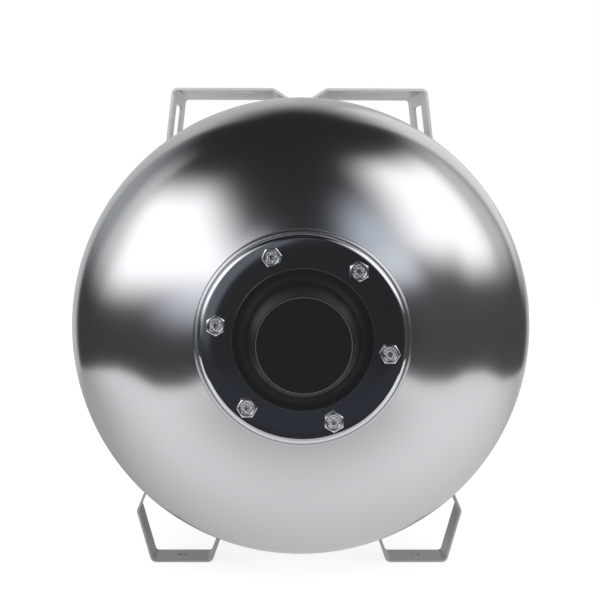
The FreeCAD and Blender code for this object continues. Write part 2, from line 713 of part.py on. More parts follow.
def make_valve_cap():
    """The dust cap, with grip grooves all round."""
    body = new_body("valve_cap", DUST_INNER_END)
    bore = "(sizes.stem_diameter / 2 + sizes.dust_fit)"
    outer = "sizes.dust_diameter / 2"
    mouth = "(sizes.dust_end - sizes.dust_length)"
    turned(body, "dust_profile", [
        ("sizes.dust_end", "0"), ("sizes.dust_end", outer), (mouth, outer), (mouth, bore),
        ("0", bore), ("0", "0")])
    end = value("sizes.dust_end")
    edges = edges_where(body.Tip.Shape, lambda edge, point: near(point.y, end)
                        and len(edge.Vertexes) == 1)
    rounded(body, "dust_edge", edges, "sizes.dust_end / 2")
    sketch = new_sketch(body, "dust_groove_outline", "XZ_Plane")
    draw_circle(sketch, "sizes.dust_groove", up=outer + " + sizes.dust_groove / 4")
    groove = cut_through(body, "dust_groove", sketch)
    repeated(body, "dust_grip", [groove], "sizes.dust_grooves")


def bracket_corners():
    """Half of the bracket's outer line from its middle to the end of a leg, right side."""
    top = "(%s + sizes.bracket_rise)" % SHELL_R
    floor = "(%s + sizes.bracket_sheet)" % SHELL_R
    half = "sizes.bracket_width / 2"
    end_across = "(%s + sizes.leg_spread)" % half
    end_up = "sqrt(pow(%s; 2) - pow(%s; 2))" % (SHELL_R, end_across)
    return [("sizes.dip_floor / 2", floor), ("sizes.dip_width / 2", top), (half, top),
            (end_across, end_up)]


def make_pump_bracket():
    """One bent sheet: two pads, a dip between them that sits on the shell, and two legs."""
    body = new_body("pump_bracket", BODY_MIDDLE)
    right = bracket_corners()
    left = [("-1 * " + across, up) for across, up in reversed(right)]
    across, up = right[-1]
    lower = "%s - sizes.leg_overrun" % up
    slant = "sizes.leg_overrun * sizes.leg_spread / (%s - %s)" % (right[2][1], up)
    below = [("%s + %s" % (across, slant), lower), ("-1 * (%s + %s)" % (across, slant), lower)]
    sketch = new_sketch(body, "bracket_outline", "XZ_Plane")
    draw_outline(sketch, left[1:] + right[:-1] + below)
    padded(body, "bracket_blank", sketch, "sizes.bracket_length", both_ways=True)
    bends = [(value("sizes.bracket_width / 2"), "sizes.bracket_bend"),
             (value("sizes.dip_width / 2"), "sizes.dip_bend + sizes.bracket_sheet"),
             (value("sizes.dip_floor / 2"), "sizes.dip_bend")]
    for number, (place, radius) in enumerate(bends, start=1):
        edges = edges_where(body.Tip.Shape, lambda edge, point: near(abs(point.x), place)
                            and near(point.y, 0) and len(edge.Vertexes) == 2)
        rounded(body, "bracket_bend_%d" % number, edges, radius)
    half = value("sizes.bracket_length / 2")
    base = value(lower)
    open_faces = faces_where(body.Tip.Shape, lambda face, centre: near(abs(centre.y), half)
                             or near(centre.z, base))
    hollowed(body, "bracket_walls", open_faces, "sizes.bracket_sheet")
    sketch = new_sketch(body, "bracket_seat_outline", "XZ_Plane")
    draw_circle(sketch, "sizes.shell_diameter")
    cut_through(body, "bracket_seat", sketch)
    sketch = new_sketch(body, "window_outline", "YZ_Plane")
    sketch.setExpression("AttachmentOffset.Base.z", "sizes.bracket_width / 2")
    window_top = "(%s + sizes.bracket_rise - sizes.window_drop)" % SHELL_R
    draw_box(sketch, "-1 * sizes.window_length / 2", window_top + " - sizes.window_height",
             "sizes.window_length / 2", window_top)
    window = cut_both_ways(body, "window", sketch, "sizes.window_height")
    mirrored(body, "window_other", [window], "YZ_Plane")
    reach = value("sizes.window_length / 2")
    edges = edges_where(body.Tip.Shape, lambda edge, point: near(abs(point.y), reach)
                        and abs(edge.tangentAt(edge.FirstParameter).x) > 0.9)
    rounded(body, "window_corners", edges, "sizes.window_corner")
    sketch = new_sketch(body, "slot_outlines", "XY_Plane")
    radius = "sizes.slot_width / 2"
    straight = "(sizes.slot_length - sizes.slot_width) / 2"
    for side in (-1, 1):
        for end in (-1, 1):
            draw_slot(sketch, "%d * sizes.slot_across / 2" % side, "%d * sizes.slot_along / 2" % end,
                      straight, radius)
    cut_through(body, "pump_slots", sketch)


def draw_slot(sketch, across, up, straight, radius):
    """A slot that runs across: two half circles and two lines."""
    middle = FreeCAD.Vector(value(across), value(up), 0)
    run = FreeCAD.Vector(value(straight), 0, 0)
    rise = FreeCAD.Vector(0, value(radius), 0)
    quarter = math.pi / 2
    axis = FreeCAD.Vector(0, 0, 1)
    right = sketch.addGeometry(Part.ArcOfCircle(Part.Circle(middle + run, axis, rise.y),
                                                -quarter, quarter))
    left = sketch.addGeometry(Part.ArcOfCircle(Part.Circle(middle - run, axis, rise.y),
                                               quarter, 3 * quarter))
    top = sketch.addGeometry(Part.LineSegment(middle + run + rise, middle - run + rise))
    low = sketch.addGeometry(Part.LineSegment(middle - run - rise, middle + run - rise))
    for first, first_end, second, second_end in ((right, 2, top, 1), (top, 2, left, 1),
                                                 (left, 2, low, 1), (low, 2, right, 1)):
        sketch.addConstraint(Sketcher.Constraint("Tangent", first, first_end, second, second_end))
    drive(sketch, "DistanceX", right, 3, "%s + %s" % (across, straight))
    drive(sketch, "DistanceY", right, 3, up)
    drive(sketch, "DistanceX", left, 3, "%s - %s" % (across, straight))
    drive(sketch, "DistanceY", left, 3, up)
    index = sketch.addConstraint(Sketcher.Constraint("Radius", right, value(radius)))
    sketch.setExpression("Constraints[%d]" % index, radius)


# Each leg's line runs on past the shell's surface by this share of its length, before it is cut.
LEG_OVERRUN_SHARE = 0.4
# The gap between a foot's end flanges is cut from inside the shell to well outside it. These are
# shares of the depth of the strip's ends below the tank's axis.
GAP_INSIDE_SHARE = 0.8
GAP_INNER_SHARE = 1.04
GAP_OUTER_SHARE = 1.2


def make_foot(label, side, end):
    """A strip bent into a sole, two legs and two end flanges that lie on the shell.

    side is -1 for the left and 1 for the right, end is -1 for the front and 1 for the rear.
    """
    body = new_body(label, "%s + %d * sizes.foot_spacing / 2" % (BODY_MIDDLE, end))

    def on_side(across):
        return "%d * %s" % (side, across)

    floor = "-1 * sizes.axis_height"
    knee = "sizes.knee_height - sizes.axis_height"
    inner_up = "-1 * sqrt(pow(%s; 2) - pow(sizes.foot_top_inner; 2))" % SHELL_R
    outer_up = "-1 * sqrt(pow(%s; 2) - pow(sizes.foot_top_outer; 2))" % SHELL_R
    inner_run = "(sizes.foot_top_inner - sizes.foot_inner) * %s" % LEG_OVERRUN_SHARE
    inner_across = "(sizes.foot_top_inner + %s)" % inner_run
    inner_end = "%s + (%s + sizes.axis_height) * %s" % (inner_up, inner_up, LEG_OVERRUN_SHARE)
    outer_run = "(sizes.foot_top_outer - sizes.knee_out) * %s" % LEG_OVERRUN_SHARE
    outer_across = "(sizes.foot_top_outer + %s)" % outer_run
    outer_end = "%s + (%s - (%s)) * %s" % (outer_up, outer_up, knee, LEG_OVERRUN_SHARE)
    sketch = new_sketch(body, label + "_outline", "XZ_Plane")
    draw_outline(sketch, [
        (on_side("sizes.foot_inner"), floor), (on_side("sizes.foot_outer"), floor),
        (on_side("sizes.knee_out"), knee), (on_side(outer_across), outer_end),
        (on_side(inner_across), inner_end)])
    padded(body, label + "_blank", sketch, "sizes.foot_strip", both_ways=True)
    sketch = new_sketch(body, label + "_seat_outline", "XZ_Plane")
    draw_circle(sketch, "sizes.shell_diameter")
    cut_through(body, label + "_seat", sketch)
    sole = value(floor)
    bend = value(knee)
    edges = edges_where(body.Tip.Shape, lambda edge, point: near(point.y, 0)
                        and (near(point.z, sole) or near(point.z, bend)))
    rounded(body, label + "_bends", edges, "sizes.foot_bend")
    half = value("sizes.foot_strip / 2")
    sides = faces_where(body.Tip.Shape, lambda face, centre: near(abs(centre.y), half))
    hollowed(body, label + "_strip", sides, "sizes.foot_sheet")
    sketch = new_sketch(body, label + "_flange_gap_outline", "XZ_Plane")
    low = (on_side("(sizes.foot_top_inner + sizes.foot_flange)"), inner_up)
    high = (on_side("(sizes.foot_top_outer - sizes.foot_flange)"), outer_up)
    draw_outline(sketch, [
        (low[0], "(%s - sizes.foot_sheet) * %s" % (low[1], GAP_INNER_SHARE)),
        (high[0], "%s * %s" % (high[1], GAP_OUTER_SHARE)),
        (high[0], "%s * %s" % (high[1], GAP_INSIDE_SHARE)),
        (low[0], "%s * %s" % (low[1], GAP_INSIDE_SHARE))])
    cut_through(body, label + "_flange_gap", sketch)
    sketch = new_sketch(body, label + "_hole_outline", "XY_Plane")
    draw_circle(sketch, "sizes.foot_hole", on_side("(sizes.foot_inner + sizes.foot_outer) / 2"))
    pocket = body.newObject("PartDesign::Pocket", label + "_hole")
    pocket.Profile = sketch
    pocket.Type = "ThroughAll"
    pocket.Reversed = False
    doc.recompute()


def check_everything():
    """No object may have failed, and each piece has to be whole."""
    for item in doc.Objects:
        if "Invalid" in item.State or "Error" in item.State:
            raise ValueError("%s did not build: %s" % (item.Label, item.State))
    for piece in nodes:
        if piece.Shape.isNull() or not piece.Shape.isValid():
            raise ValueError("%s has no sound shape" % piece.Label)


def write_pieces():
    os.makedirs("parts", exist_ok=True)
    for piece in nodes:
        box = piece.Shape.optimalBoundingBox(False)
        print("%-18s solids %d volume %10.1f x %7.1f %7.1f y %7.1f %7.1f z %7.1f %7.1f" % (
            piece.Label, len(piece.Shape.Solids), piece.Shape.Volume, box.XMin, box.XMax,
            box.YMin, box.YMax, box.ZMin, box.ZMax))
        piece.Shape.exportStep("parts/%s.step" % piece.Label)


make_front_head()
make_rear_head()
make_barrel()
make_neck_ring()
make_counter_flange()
make_port_socket()
make_flange_bolts()
make_weld_nuts()
make_port_cap()
make_port_cap_sleeve()
make_bladder()
make_valve_boss()
make_valve_washer()
make_valve_stem()
make_valve_core()
make_valve_pin()
make_valve_spring()
make_valve_cap()
make_pump_bracket()
for end_name, end in (("front", -1), ("rear", 1)):
    for side_name, side in (("left", -1), ("right", 1)):
        make_foot("foot_%s_%s" % (end_name, side_name), side, end)

doc.recompute()
check_everything()
write_pieces()
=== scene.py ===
# %% [markdown]
# A horizontal pressure tank of polished stainless steel, seen from its flange end. This lesson dresses
# the exact CAD solids of the tank with finer meshes and with materials. Everything is in metres, in
# the solids' own frame: +Z is up and +Y runs from the flange to the air valve. The sizes in the cells
# are in millimetres, as a maker would give them, and only the studio round the tank is in metres.

import bpy
import bmesh
import math
from mathutils import Matrix, Vector


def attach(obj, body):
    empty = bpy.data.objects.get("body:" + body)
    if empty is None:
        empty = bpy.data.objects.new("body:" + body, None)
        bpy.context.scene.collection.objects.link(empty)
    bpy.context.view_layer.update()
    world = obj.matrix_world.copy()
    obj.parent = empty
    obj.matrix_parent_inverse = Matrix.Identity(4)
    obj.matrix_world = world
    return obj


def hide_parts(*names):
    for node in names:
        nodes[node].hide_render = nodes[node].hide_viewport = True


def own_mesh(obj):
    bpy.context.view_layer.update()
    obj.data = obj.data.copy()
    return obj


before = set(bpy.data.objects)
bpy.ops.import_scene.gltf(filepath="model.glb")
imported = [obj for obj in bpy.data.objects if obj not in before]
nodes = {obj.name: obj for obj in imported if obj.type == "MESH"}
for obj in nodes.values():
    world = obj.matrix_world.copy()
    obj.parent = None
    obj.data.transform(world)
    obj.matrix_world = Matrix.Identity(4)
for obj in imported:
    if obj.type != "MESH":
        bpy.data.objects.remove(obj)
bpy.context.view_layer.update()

# %% [markdown]
# A few small helpers serve every material. Colours are written as sRGB hex values, as a colour chart
# gives them, and turned to the linear numbers that Blender's sockets expect. One call adds a node, sets
# its inputs and makes its links, so that each material reads as a list that ends with its shader.

# %% Colour and node helpers
MM = 0.001
scene = bpy.context.scene


def linear(hex_colour):
    """An sRGB hex value as linear red, green, blue and alpha."""
    channels = [int(hex_colour[i:i + 2], 16) / 255 for i in (1, 3, 5)]
    return tuple(c / 12.92 if c <= 0.04045 else ((c + 0.055) / 1.055) ** 2.4 for c in channels) + (1.0,)


def add_node(tree, kind, inputs=None, **settings):
    """Add a node with its settings. An input is a value, or a pair (node, output) to link from."""
    node = tree.nodes.new(kind)
    for name, setting in settings.items():
        setattr(node, name, setting)
    for name, given in (inputs or {}).items():
        if isinstance(given, tuple) and len(given) == 2 and isinstance(given[0], bpy.types.Node):
            tree.links.new(given[0].outputs[given[1]], node.inputs[name])
        else:
            node.inputs[name].default_value = given
    return node


def new_material(name):
    """An empty node material, its tree, and the node that says where a point lies."""
    material = bpy.data.materials.new(name)
    material.use_nodes = True
    material.node_tree.nodes.clear()
    print("material", name)
    return material, material.node_tree, add_node(material.node_tree, "ShaderNodeTexCoord")


def shade(tree, inputs):
    """A material's shader with these inputs, joined to the output."""
    shader = add_node(tree, "ShaderNodeBsdfPrincipled", inputs)
    add_node(tree, "ShaderNodeOutputMaterial", {"Surface": (shader, 0)})


print("the grey #808080 is %.3f in linear light" % linear("#808080")[0])

# %% [markdown]
# The shell is austenitic stainless sheet, pressed or rolled and then mechanically polished. Polishing
# leaves a bright surface that still spreads each reflection a little, and pressing leaves very low
# waves in it. So the roughness is small but not zero, and a broad, faint noise bends the normals. The
# noise has a size of about 60 mm, as flatness errors of 1 mm sheet have.

# %% Polished stainless sheet


def bare_metal(name, tone, roughness, grain, detail, strength, depth, fine_share=0.5):
    """A metal whose normals follow a noise. The noise's grain and the bumps' depth are in millimetres."""
    material, tree, place = new_material(name)
    waves = add_node(tree, "ShaderNodeTexNoise",
                     {"Vector": (place, "Object"), "Scale": 1 / (grain * MM), "Detail": detail,
                      "Roughness": fine_share})
    bump = add_node(tree, "ShaderNodeBump",
                    {"Height": (waves, 0), "Strength": strength, "Distance": depth * MM})
    shade(tree, {"Base Color": linear(tone), "Metallic": 1.0, "Roughness": roughness, "Normal": (bump, 0)})
    return material


polished_stainless = bare_metal("polished_stainless_sheet", "#CBCCCE", 0.17, grain=60, detail=1.0,
                                strength=0.25, depth=0.6, fine_share=0.4)

# %% [markdown]
# The counter-flange is pressed from thicker stainless plate and buffed after pressing. It is flat and
# its finish is finer, so it shows what stands in front of it almost as a mirror does.

# %% Buffed stainless plate
buffed_stainless = bare_metal("buffed_stainless_plate", "#D4D6DA", 0.07, grain=45, detail=1.0,
                              strength=0.2, depth=0.2)

# %% [markdown]
# The neck ring, the water port and the valve boss are turned on a lathe. A lathe leaves fine circular
# grooves round the part's axis. Real ones are 0.1 to 0.2 mm apart, too fine to show here, so they are
# drawn 0.5 mm apart. A wave texture in rings round the Y axis draws them on the faces, and its phase
# grows by one turn for each 2 pi / 20 of its scale.

# %% Turned stainless
TANK_AXIS = 195.5
GROOVE_SPACING = 0.5 * MM

turned_stainless, tree, place = new_material("turned_stainless")
centred = add_node(tree, "ShaderNodeMapping",
                   {"Vector": (place, "Object"), "Location": (0, 0, -TANK_AXIS * MM)})
grooves = add_node(tree, "ShaderNodeTexWave",
                   {"Vector": (centred, 0), "Scale": 2 * math.pi / 20 / GROOVE_SPACING},
                   wave_type="RINGS", rings_direction="Y", wave_profile="SIN")
bump = add_node(tree, "ShaderNodeBump", {"Height": (grooves, 0), "Strength": 0.08, "Distance": 0.03 * MM})
shade(tree, {"Base Color": linear("#BFC0C2"), "Metallic": 1.0, "Roughness": 0.24, "Normal": (bump, 0)})

# %% [markdown]
# Bolts and nuts are cold-headed steel with bright zinc plating: silver, a little bluish, smooth but
# not buffed. Their faces keep small marks of the heading die and of the spanner, drawn as a fine
# noise about 1.1 mm across.

# %% Bright zinc plating
bright_zinc = bare_metal("bright_zinc_plating", "#D0D3D6", 0.2, grain=1.1, detail=2.0,
                         strength=0.8, depth=0.14)

# %% [markdown]
# The air valve's stem, core and pin are turned from brass, a warm yellow metal. A lathe's grooves
# would be finer than a pixel on such small pieces, so a noise of 1.5 mm only breaks up their shine.

# %% Turned brass
turned_brass = bare_metal("turned_brass", "#D9BB76", 0.25, grain=1.5, detail=2.0, strength=0.15, depth=0.03)

# %% [markdown]
# The pump bracket and the feet are cut from cold-rolled stainless sheet with a mill finish, and only
# brushed over. Rolling leaves faint streaks along the sheet, so a noise is stretched along one axis
# by its Mapping node: about 1 mm across the streaks and 40 mm along them. It shifts the roughness and
# the colour slightly, which breaks up the reflections as on the real sheet. Pickling has left the
# skin half dull, so it scatters light almost as a pale paint does: a metallic value well below 1
# gives the eye that even light grey.

# %% Brushed sheet for the bracket and the feet


def brushed(name, colour_low, colour_high, roughness, metallic, streak_scale):
    """Stainless sheet with streaks. streak_scale gives the noise's scale along X, Y and Z."""
    material, tree, place = new_material(name)
    stretched = add_node(tree, "ShaderNodeMapping", {"Vector": (place, "Object"), "Scale": streak_scale})
    streaks = add_node(tree, "ShaderNodeTexNoise",
                       {"Vector": (stretched, 0), "Scale": 1.0, "Detail": 3.0, "Roughness": 0.6})
    ramp = add_node(tree, "ShaderNodeValToRGB", {"Fac": (streaks, 0)})
    ramp.color_ramp.elements[0].position, ramp.color_ramp.elements[1].position = 0.3, 0.7
    ramp.color_ramp.elements[0].color = linear(colour_low)
    ramp.color_ramp.elements[1].color = linear(colour_high)
    spread = add_node(tree, "ShaderNodeMapRange",
                      {"Value": (streaks, 0), "To Min": roughness - 0.06, "To Max": roughness + 0.06})
    bump = add_node(tree, "ShaderNodeBump", {"Height": (streaks, 0), "Strength": 0.2, "Distance": 0.05 * MM})
    shade(tree, {"Base Color": (ramp, 0), "Metallic": metallic, "Roughness": (spread, 0),
                 "Normal": (bump, 0)})
    return material


ACROSS = 1 / (10 / 9 * MM)
LENGTHWISE = 1 / (40 * MM)
brushed_bracket = brushed("brushed_stainless_sheet", "#EDEFF1", "#FAFBFC", roughness=0.2, metallic=0.06,
                          streak_scale=(ACROSS, LENGTHWISE, ACROSS))
brushed_foot = brushed("brushed_stainless_strip", "#ACAFB0", "#C7C9CA", roughness=0.36, metallic=0.66,
                       streak_scale=(LENGTHWISE, ACROSS, LENGTHWISE))

# %% [markdown]
# The port cap is injection-moulded black polyethylene. A mould for such a cap is finely eroded, which
# gives a satin skin: nearly black, with broad soft highlights. A noise of about 0.7 mm stands for the
# eroded texture, coarser than the real one so that it shows at all. The thin bright lines on the front's
# edge and on the brim's rim are painted highlights, a lighter grey laid into the colour. Both edges are
# circles round the tank's axis, so the painted highlights are laid by the distance from that axis.

# %% Moulded black plastic
CAP_FRONT = 34.0
CAP_BRIM = 50.7
PAINTED_HIGHLIGHT_WIDTH = 0.4

moulded_black, tree, place = new_material("moulded_black_polyethylene")
apart = add_node(tree, "ShaderNodeSeparateXYZ", {"Vector": (place, "Object")})
upward = add_node(tree, "ShaderNodeMath", {0: (apart, "Z"), 1: TANK_AXIS * MM}, operation="SUBTRACT")
across = add_node(tree, "ShaderNodeCombineXYZ", {"X": (apart, "X"), "Y": (upward, 0)})
reach = add_node(tree, "ShaderNodeVectorMath", {0: (across, 0)}, operation="LENGTH")
# Painted highlights: thin rings of lighter grey in the colour, one at the front's edge and one at the brim's
# rim.
painted_edge_highlights = []
for edge_radius in (CAP_FRONT - 0.95, CAP_BRIM - 0.1):
    apart = add_node(tree, "ShaderNodeMath",
                     {0: (reach, "Value"), 1: edge_radius * MM}, operation="SUBTRACT")
    apart = add_node(tree, "ShaderNodeMath", {0: (apart, 0)}, operation="ABSOLUTE")
    painted_edge_highlights.append(add_node(tree, "ShaderNodeMapRange",
                           {"Value": (apart, 0), "From Min": PAINTED_HIGHLIGHT_WIDTH * MM,
                            "From Max": 0.2 * PAINTED_HIGHLIGHT_WIDTH * MM}, interpolation_type="SMOOTHSTEP"))
# The painted highlight on the brim is far fainter than the one on the front's edge.
grey = add_node(tree, "ShaderNodeMath", {0: (painted_edge_highlights[1], 0), 1: 0.2}, operation="MULTIPLY")
grey = add_node(tree, "ShaderNodeMath", {0: (painted_edge_highlights[0], 0), 1: (grey, 0)}, operation="MAXIMUM")
# The lighter colour #6E7072 is the grey of the painted highlights.
tone = add_node(tree, "ShaderNodeMix",
                {"Factor": (grey, 0), 6: linear("#202022"), 7: linear("#6E7072")}, data_type="RGBA")
skin_noise = add_node(tree, "ShaderNodeTexNoise",
                      {"Vector": (place, "Object"), "Scale": 1 / (0.7 * MM), "Detail": 2.0})
bump = add_node(tree, "ShaderNodeBump", {"Height": (skin_noise, 0), "Strength": 0.25, "Distance": 0.04 * MM})
shade(tree, {"Base Color": (tone, 2), "Roughness": 0.52, "Specular IOR Level": 0.2, "Normal": (bump, 0)})

# %% [markdown]
# The bladder and the valve's washer are rubber: duller than the cap, with a bloom that makes patches
# of about 4 mm duller still. The valve's spring is drawn steel wire, whose shine changes within about
# 0.6 mm, as the die has left it. Both are one plain colour with a roughness that a noise shifts.

# %% Rubber and spring wire


def patchy(name, tone, metallic, grain, detail, shiniest, dullest):
    """A finish whose roughness changes in patches. Their grain is in millimetres."""
    material, tree, place = new_material(name)
    patches = add_node(tree, "ShaderNodeTexNoise",
                       {"Vector": (place, "Object"), "Scale": 1 / (grain * MM), "Detail": detail})
    spread = add_node(tree, "ShaderNodeMapRange",
                      {"Value": (patches, 0), "To Min": shiniest, "To Max": dullest})
    shade(tree, {"Base Color": linear(tone), "Metallic": metallic, "Roughness": (spread, 0)})
    return material


black_rubber = patchy("moulded_black_rubber", "#232221", metallic=0.0, grain=4, detail=3.0,
                      shiniest=0.6, dullest=0.75)
spring_wire = patchy("drawn_spring_wire", "#A9ABAD", metallic=1.0, grain=0.6, detail=1.0,
                     shiniest=0.25, dullest=0.4)

# %% [markdown]
# A weld bead in stainless steel is brighter than the sheet where it has been brushed, and slightly
# straw-coloured beside it from the heat. The bead's ripples are geometry, so the material only needs
# the tint and a middling roughness.

# %% Brushed weld bead
weld_bead, tree, place = new_material("brushed_weld_bead")
heat = add_node(tree, "ShaderNodeTexNoise",
                {"Vector": (place, "Object"), "Scale": 1 / (12 * MM), "Detail": 2.0})
tint = add_node(tree, "ShaderNodeValToRGB", {"Fac": (heat, 0)})
tint.color_ramp.elements[0].color = linear("#B9B3A6")
tint.color_ramp.elements[1].color = linear("#C9CACC")
shade(tree, {"Base Color": (tint, 0), "Metallic": 1.0, "Roughness": 0.3})
print("materials", len(bpy.data.materials))

# %% [markdown]
# Nearly every piece of the tank is round, so one helper turns a profile round the tank's axis, as a
# lathe or a spinning former does. A profile is a closed list of corners, each with its place along
# the tank, its radius, and how round the corner is. Rounding even by 0.3 mm matters: a real edge
# catches a thin line of light, and a mathematically sharp one doesn't.

# %% Turning helpers
PLATE_FACE = -290.95
SIDE_SHARE = 0.98
FLAT_GAP = 0.2


def soften(corners, steps=5):
    """Round the corners of a closed profile. A corner is (along, radius) or (along, radius, rounding)."""
    points = []
    corners = [(*corner, 0.0)[:3] for corner in corners]
    for i, corner in enumerate(corners):
        here = Vector(corner[:2])
        rounding = corner[2]
        earlier, later = corners[i - 1], corners[(i + 1) % len(corners)]
        before, after = Vector(earlier[:2]) - here, Vector(later[:2]) - here
        if not rounding or before.length < 1e-6 or after.length < 1e-6:
            points.append(tuple(here))
            continue
        half = before.angle(after) / 2
        # A rounding may use the straight side up to where its neighbour's own rounding starts.
        reach = min(rounding / math.tan(half),
                    SIDE_SHARE * (before.length - min(earlier[2], before.length / 2)),
                    SIDE_SHARE * (after.length - min(later[2], after.length / 2)))
        beyond = reach + FLAT_GAP
        rounding = reach * math.tan(half)
        middle = here + (before.normalized() + after.normalized()).normalized() * rounding / math.sin(half)
        start = here + before.normalized() * reach - middle
        end = here + after.normalized() * reach - middle
        turn = math.atan2(start.x * end.y - start.y * end.x, start.dot(end))
        # One more point on each straight side, close to the arc, keeps the flat beside it truly flat.
        if before.length > 2.2 * beyond:
            points.append(tuple(here + before.normalized() * beyond))
        for k in range(steps + 1):
            a = turn * k / steps
            points.append((middle.x + start.x * math.cos(a) - start.y * math.sin(a),
                           middle.y + start.x * math.sin(a) + start.y * math.cos(a)))
        if after.length > 2.2 * beyond:
            points.append(tuple(here + after.normalized() * beyond))
    return points


def in_scene(name, data):
    """A new object for this data, linked to the scene."""
    thing = bpy.data.objects.new(name, data)
    scene.collection.objects.link(thing)
    return thing


def smooth(mesh, sharp):
    """Shade a mesh smoothly, except over edges sharper than this many degrees."""
    mesh.shade_smooth()
    mesh.set_sharp_from_angle(angle=math.radians(sharp))


def finish_mesh(name, mesh_data, material, sharp=35):
    """Merge doubles, point the faces outwards, smooth all but sharp edges, and make the object."""
    mesh_data.normal_update()
    bmesh.ops.remove_doubles(mesh_data, verts=mesh_data.verts, dist=1e-7)
    bmesh.ops.recalc_face_normals(mesh_data, faces=mesh_data.faces)
    mesh = bpy.data.meshes.new(name)
    mesh_data.to_mesh(mesh)
    mesh_data.free()
    smooth(mesh, sharp)
    mesh.materials.append(material)
    return in_scene(name, mesh)


ON_TANK = (PLATE_FACE, TANK_AXIS)


def ring_of(mesh_data, line, centre=ON_TANK):
    """A ring of vertices, clockwise from the top. line gives each one's (along, radius) in millimetres."""
    ring = []
    for k, (along, radius) in enumerate(line):
        a = 2 * math.pi * k / len(line)
        ring.append(mesh_data.verts.new((radius * MM * math.sin(a), (centre[0] + along) * MM,
                                         (centre[1] + radius * math.cos(a)) * MM)))
    return ring


def skin(mesh_data, rings):
    """Faces from each ring to the next. Where a ring is one vertex repeated, they are triangles."""
    for first, second in zip(rings, rings[1:]):
        for k in range(len(first)):
            after = (k + 1) % len(first)
            corners = list(dict.fromkeys((first[k], first[after], second[after], second[k])))
            if len(corners) > 2:
                mesh_data.faces.new(corners)


def turned(name, profile, material, sides):
    """Turn a closed profile of (along, radius) in millimetres round the tank's axis."""
    mesh_data = bmesh.new()
    rings = []
    for along, radius in profile:
        if radius < 1e-6:
            rings.append(ring_of(mesh_data, [(along, 0.0)]) * sides)
        else:
            rings.append(ring_of(mesh_data, [(along, radius)] * sides))
    skin(mesh_data, rings + rings[:1])
    return finish_mesh(name, mesh_data, material)


def dress(piece, body, slot, *stands_for):
    """Tell the frame which body a piece moves with and the solids it stands for. slot, its finish, is not
    used.
    """
    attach(piece, body)
    if stands_for:
        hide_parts(*stands_for)
    print(piece.name, len(piece.data.polygons), "faces")


print("a rounded corner takes", len(soften([(0, 0, 1), (10, 0), (10, 10), (0, 10)])) - 3, "points")

# %% [markdown]
# The two heads are dished ends. A disc of sheet is pressed over a former into half an ellipsoid with
# a short straight skirt, and the middle is cut out. The curve is computed from the ellipse itself, so
# the reflections flow over it without facets. The seam to the barrel is a separate bead.

# %% Dished heads
SHELL_RADIUS = 175.0
SHELL_WALL = 1.2
HEAD_DEPTH = 88.0
HEAD_SKIRT = 20.0
FRONT_TANGENT = 104.5
REAR_TANGENT = 516.5
MOUTH_RADIUS = 51.0
VALVE_HOLE = 8.0


def dish(tangent, facing, hole_radius, steps=64):
    """Profile of a head with its hole. facing is -1 for the front head and 1 for the rear one."""
    outer, inner = [], []
    for wall, line in ((0, outer), (SHELL_WALL, inner)):
        depth, radius = HEAD_DEPTH - wall, SHELL_RADIUS - wall
        start = math.asin(hole_radius / radius)
        for k in range(steps + 1):
            a = start + (math.pi / 2 - start) * k / steps
            line.append((tangent + facing * depth * math.cos(a), radius * math.sin(a)))
    skirt = tangent - facing * HEAD_SKIRT
    return outer + [(skirt, SHELL_RADIUS), (skirt, SHELL_RADIUS - SHELL_WALL)] + inner[::-1]


front_head = turned("front_head_polished", dish(FRONT_TANGENT, -1, MOUTH_RADIUS), polished_stainless, 320)
rear_head = turned("rear_head_polished", dish(REAR_TANGENT, 1, VALVE_HOLE), polished_stainless, 320)
dress(front_head, "tank", "polished_steel", "front_head")
dress(rear_head, "tank", "polished_steel", "rear_head")

# %% [markdown]
# The barrel is one sheet rolled to a tube. It has two circular seams, where the heads are welded on.
# It is a plain tube wall, so it is turned as the heads are.

# %% Barrel
FRONT_SEAM = FRONT_TANGENT + HEAD_SKIRT
REAR_SEAM = REAR_TANGENT - HEAD_SKIRT
barrel = turned("barrel_polished", [
    (FRONT_SEAM, SHELL_RADIUS), (REAR_SEAM, SHELL_RADIUS), (REAR_SEAM, SHELL_RADIUS - SHELL_WALL),
    (FRONT_SEAM, SHELL_RADIUS - SHELL_WALL)], polished_stainless, 320)
dress(barrel, "tank", "polished_steel", "barrel")

# %% [markdown]
# A weld bead is a low band with overlapping crescents, one for each drop of melted metal. A shape that
# repeats round a circle is work for Geometry Nodes: a curve circle gives the path, a profile is swept
# along it, and a wave along the path sinks the surface into ripples. The tree has named inputs for
# the radius, the width, the height and the number of ripples.

# %% Bead tree
RIPPLE_SPACING = 3.0
RIPPLE_SHARE = 0.35
PATH_STEPS = 1440


def start_tree(tree_name, inputs):
    """A geometry tree with one output and these inputs, each a name and a kind of socket."""
    tree = bpy.data.node_groups.new(tree_name, "GeometryNodeTree")
    tree.interface.new_socket("Geometry", in_out="OUTPUT", socket_type="NodeSocketGeometry")
    for name, kind in inputs.items():
        tree.interface.new_socket(name, in_out="INPUT", socket_type="NodeSocket" + kind)
    return tree, add_node(tree, "NodeGroupInput")


def end_tree(tree, given, shape):
    """Make the shape real, because the export drops instances, and give it its material."""
    real = add_node(tree, "GeometryNodeRealizeInstances", {"Geometry": (shape, 0)})
    coloured = add_node(tree, "GeometryNodeSetMaterial",
                        {"Geometry": (real, 0), "Material": (given, "Material")})
    add_node(tree, "NodeGroupOutput", {"Geometry": (coloured, 0)})
    return tree


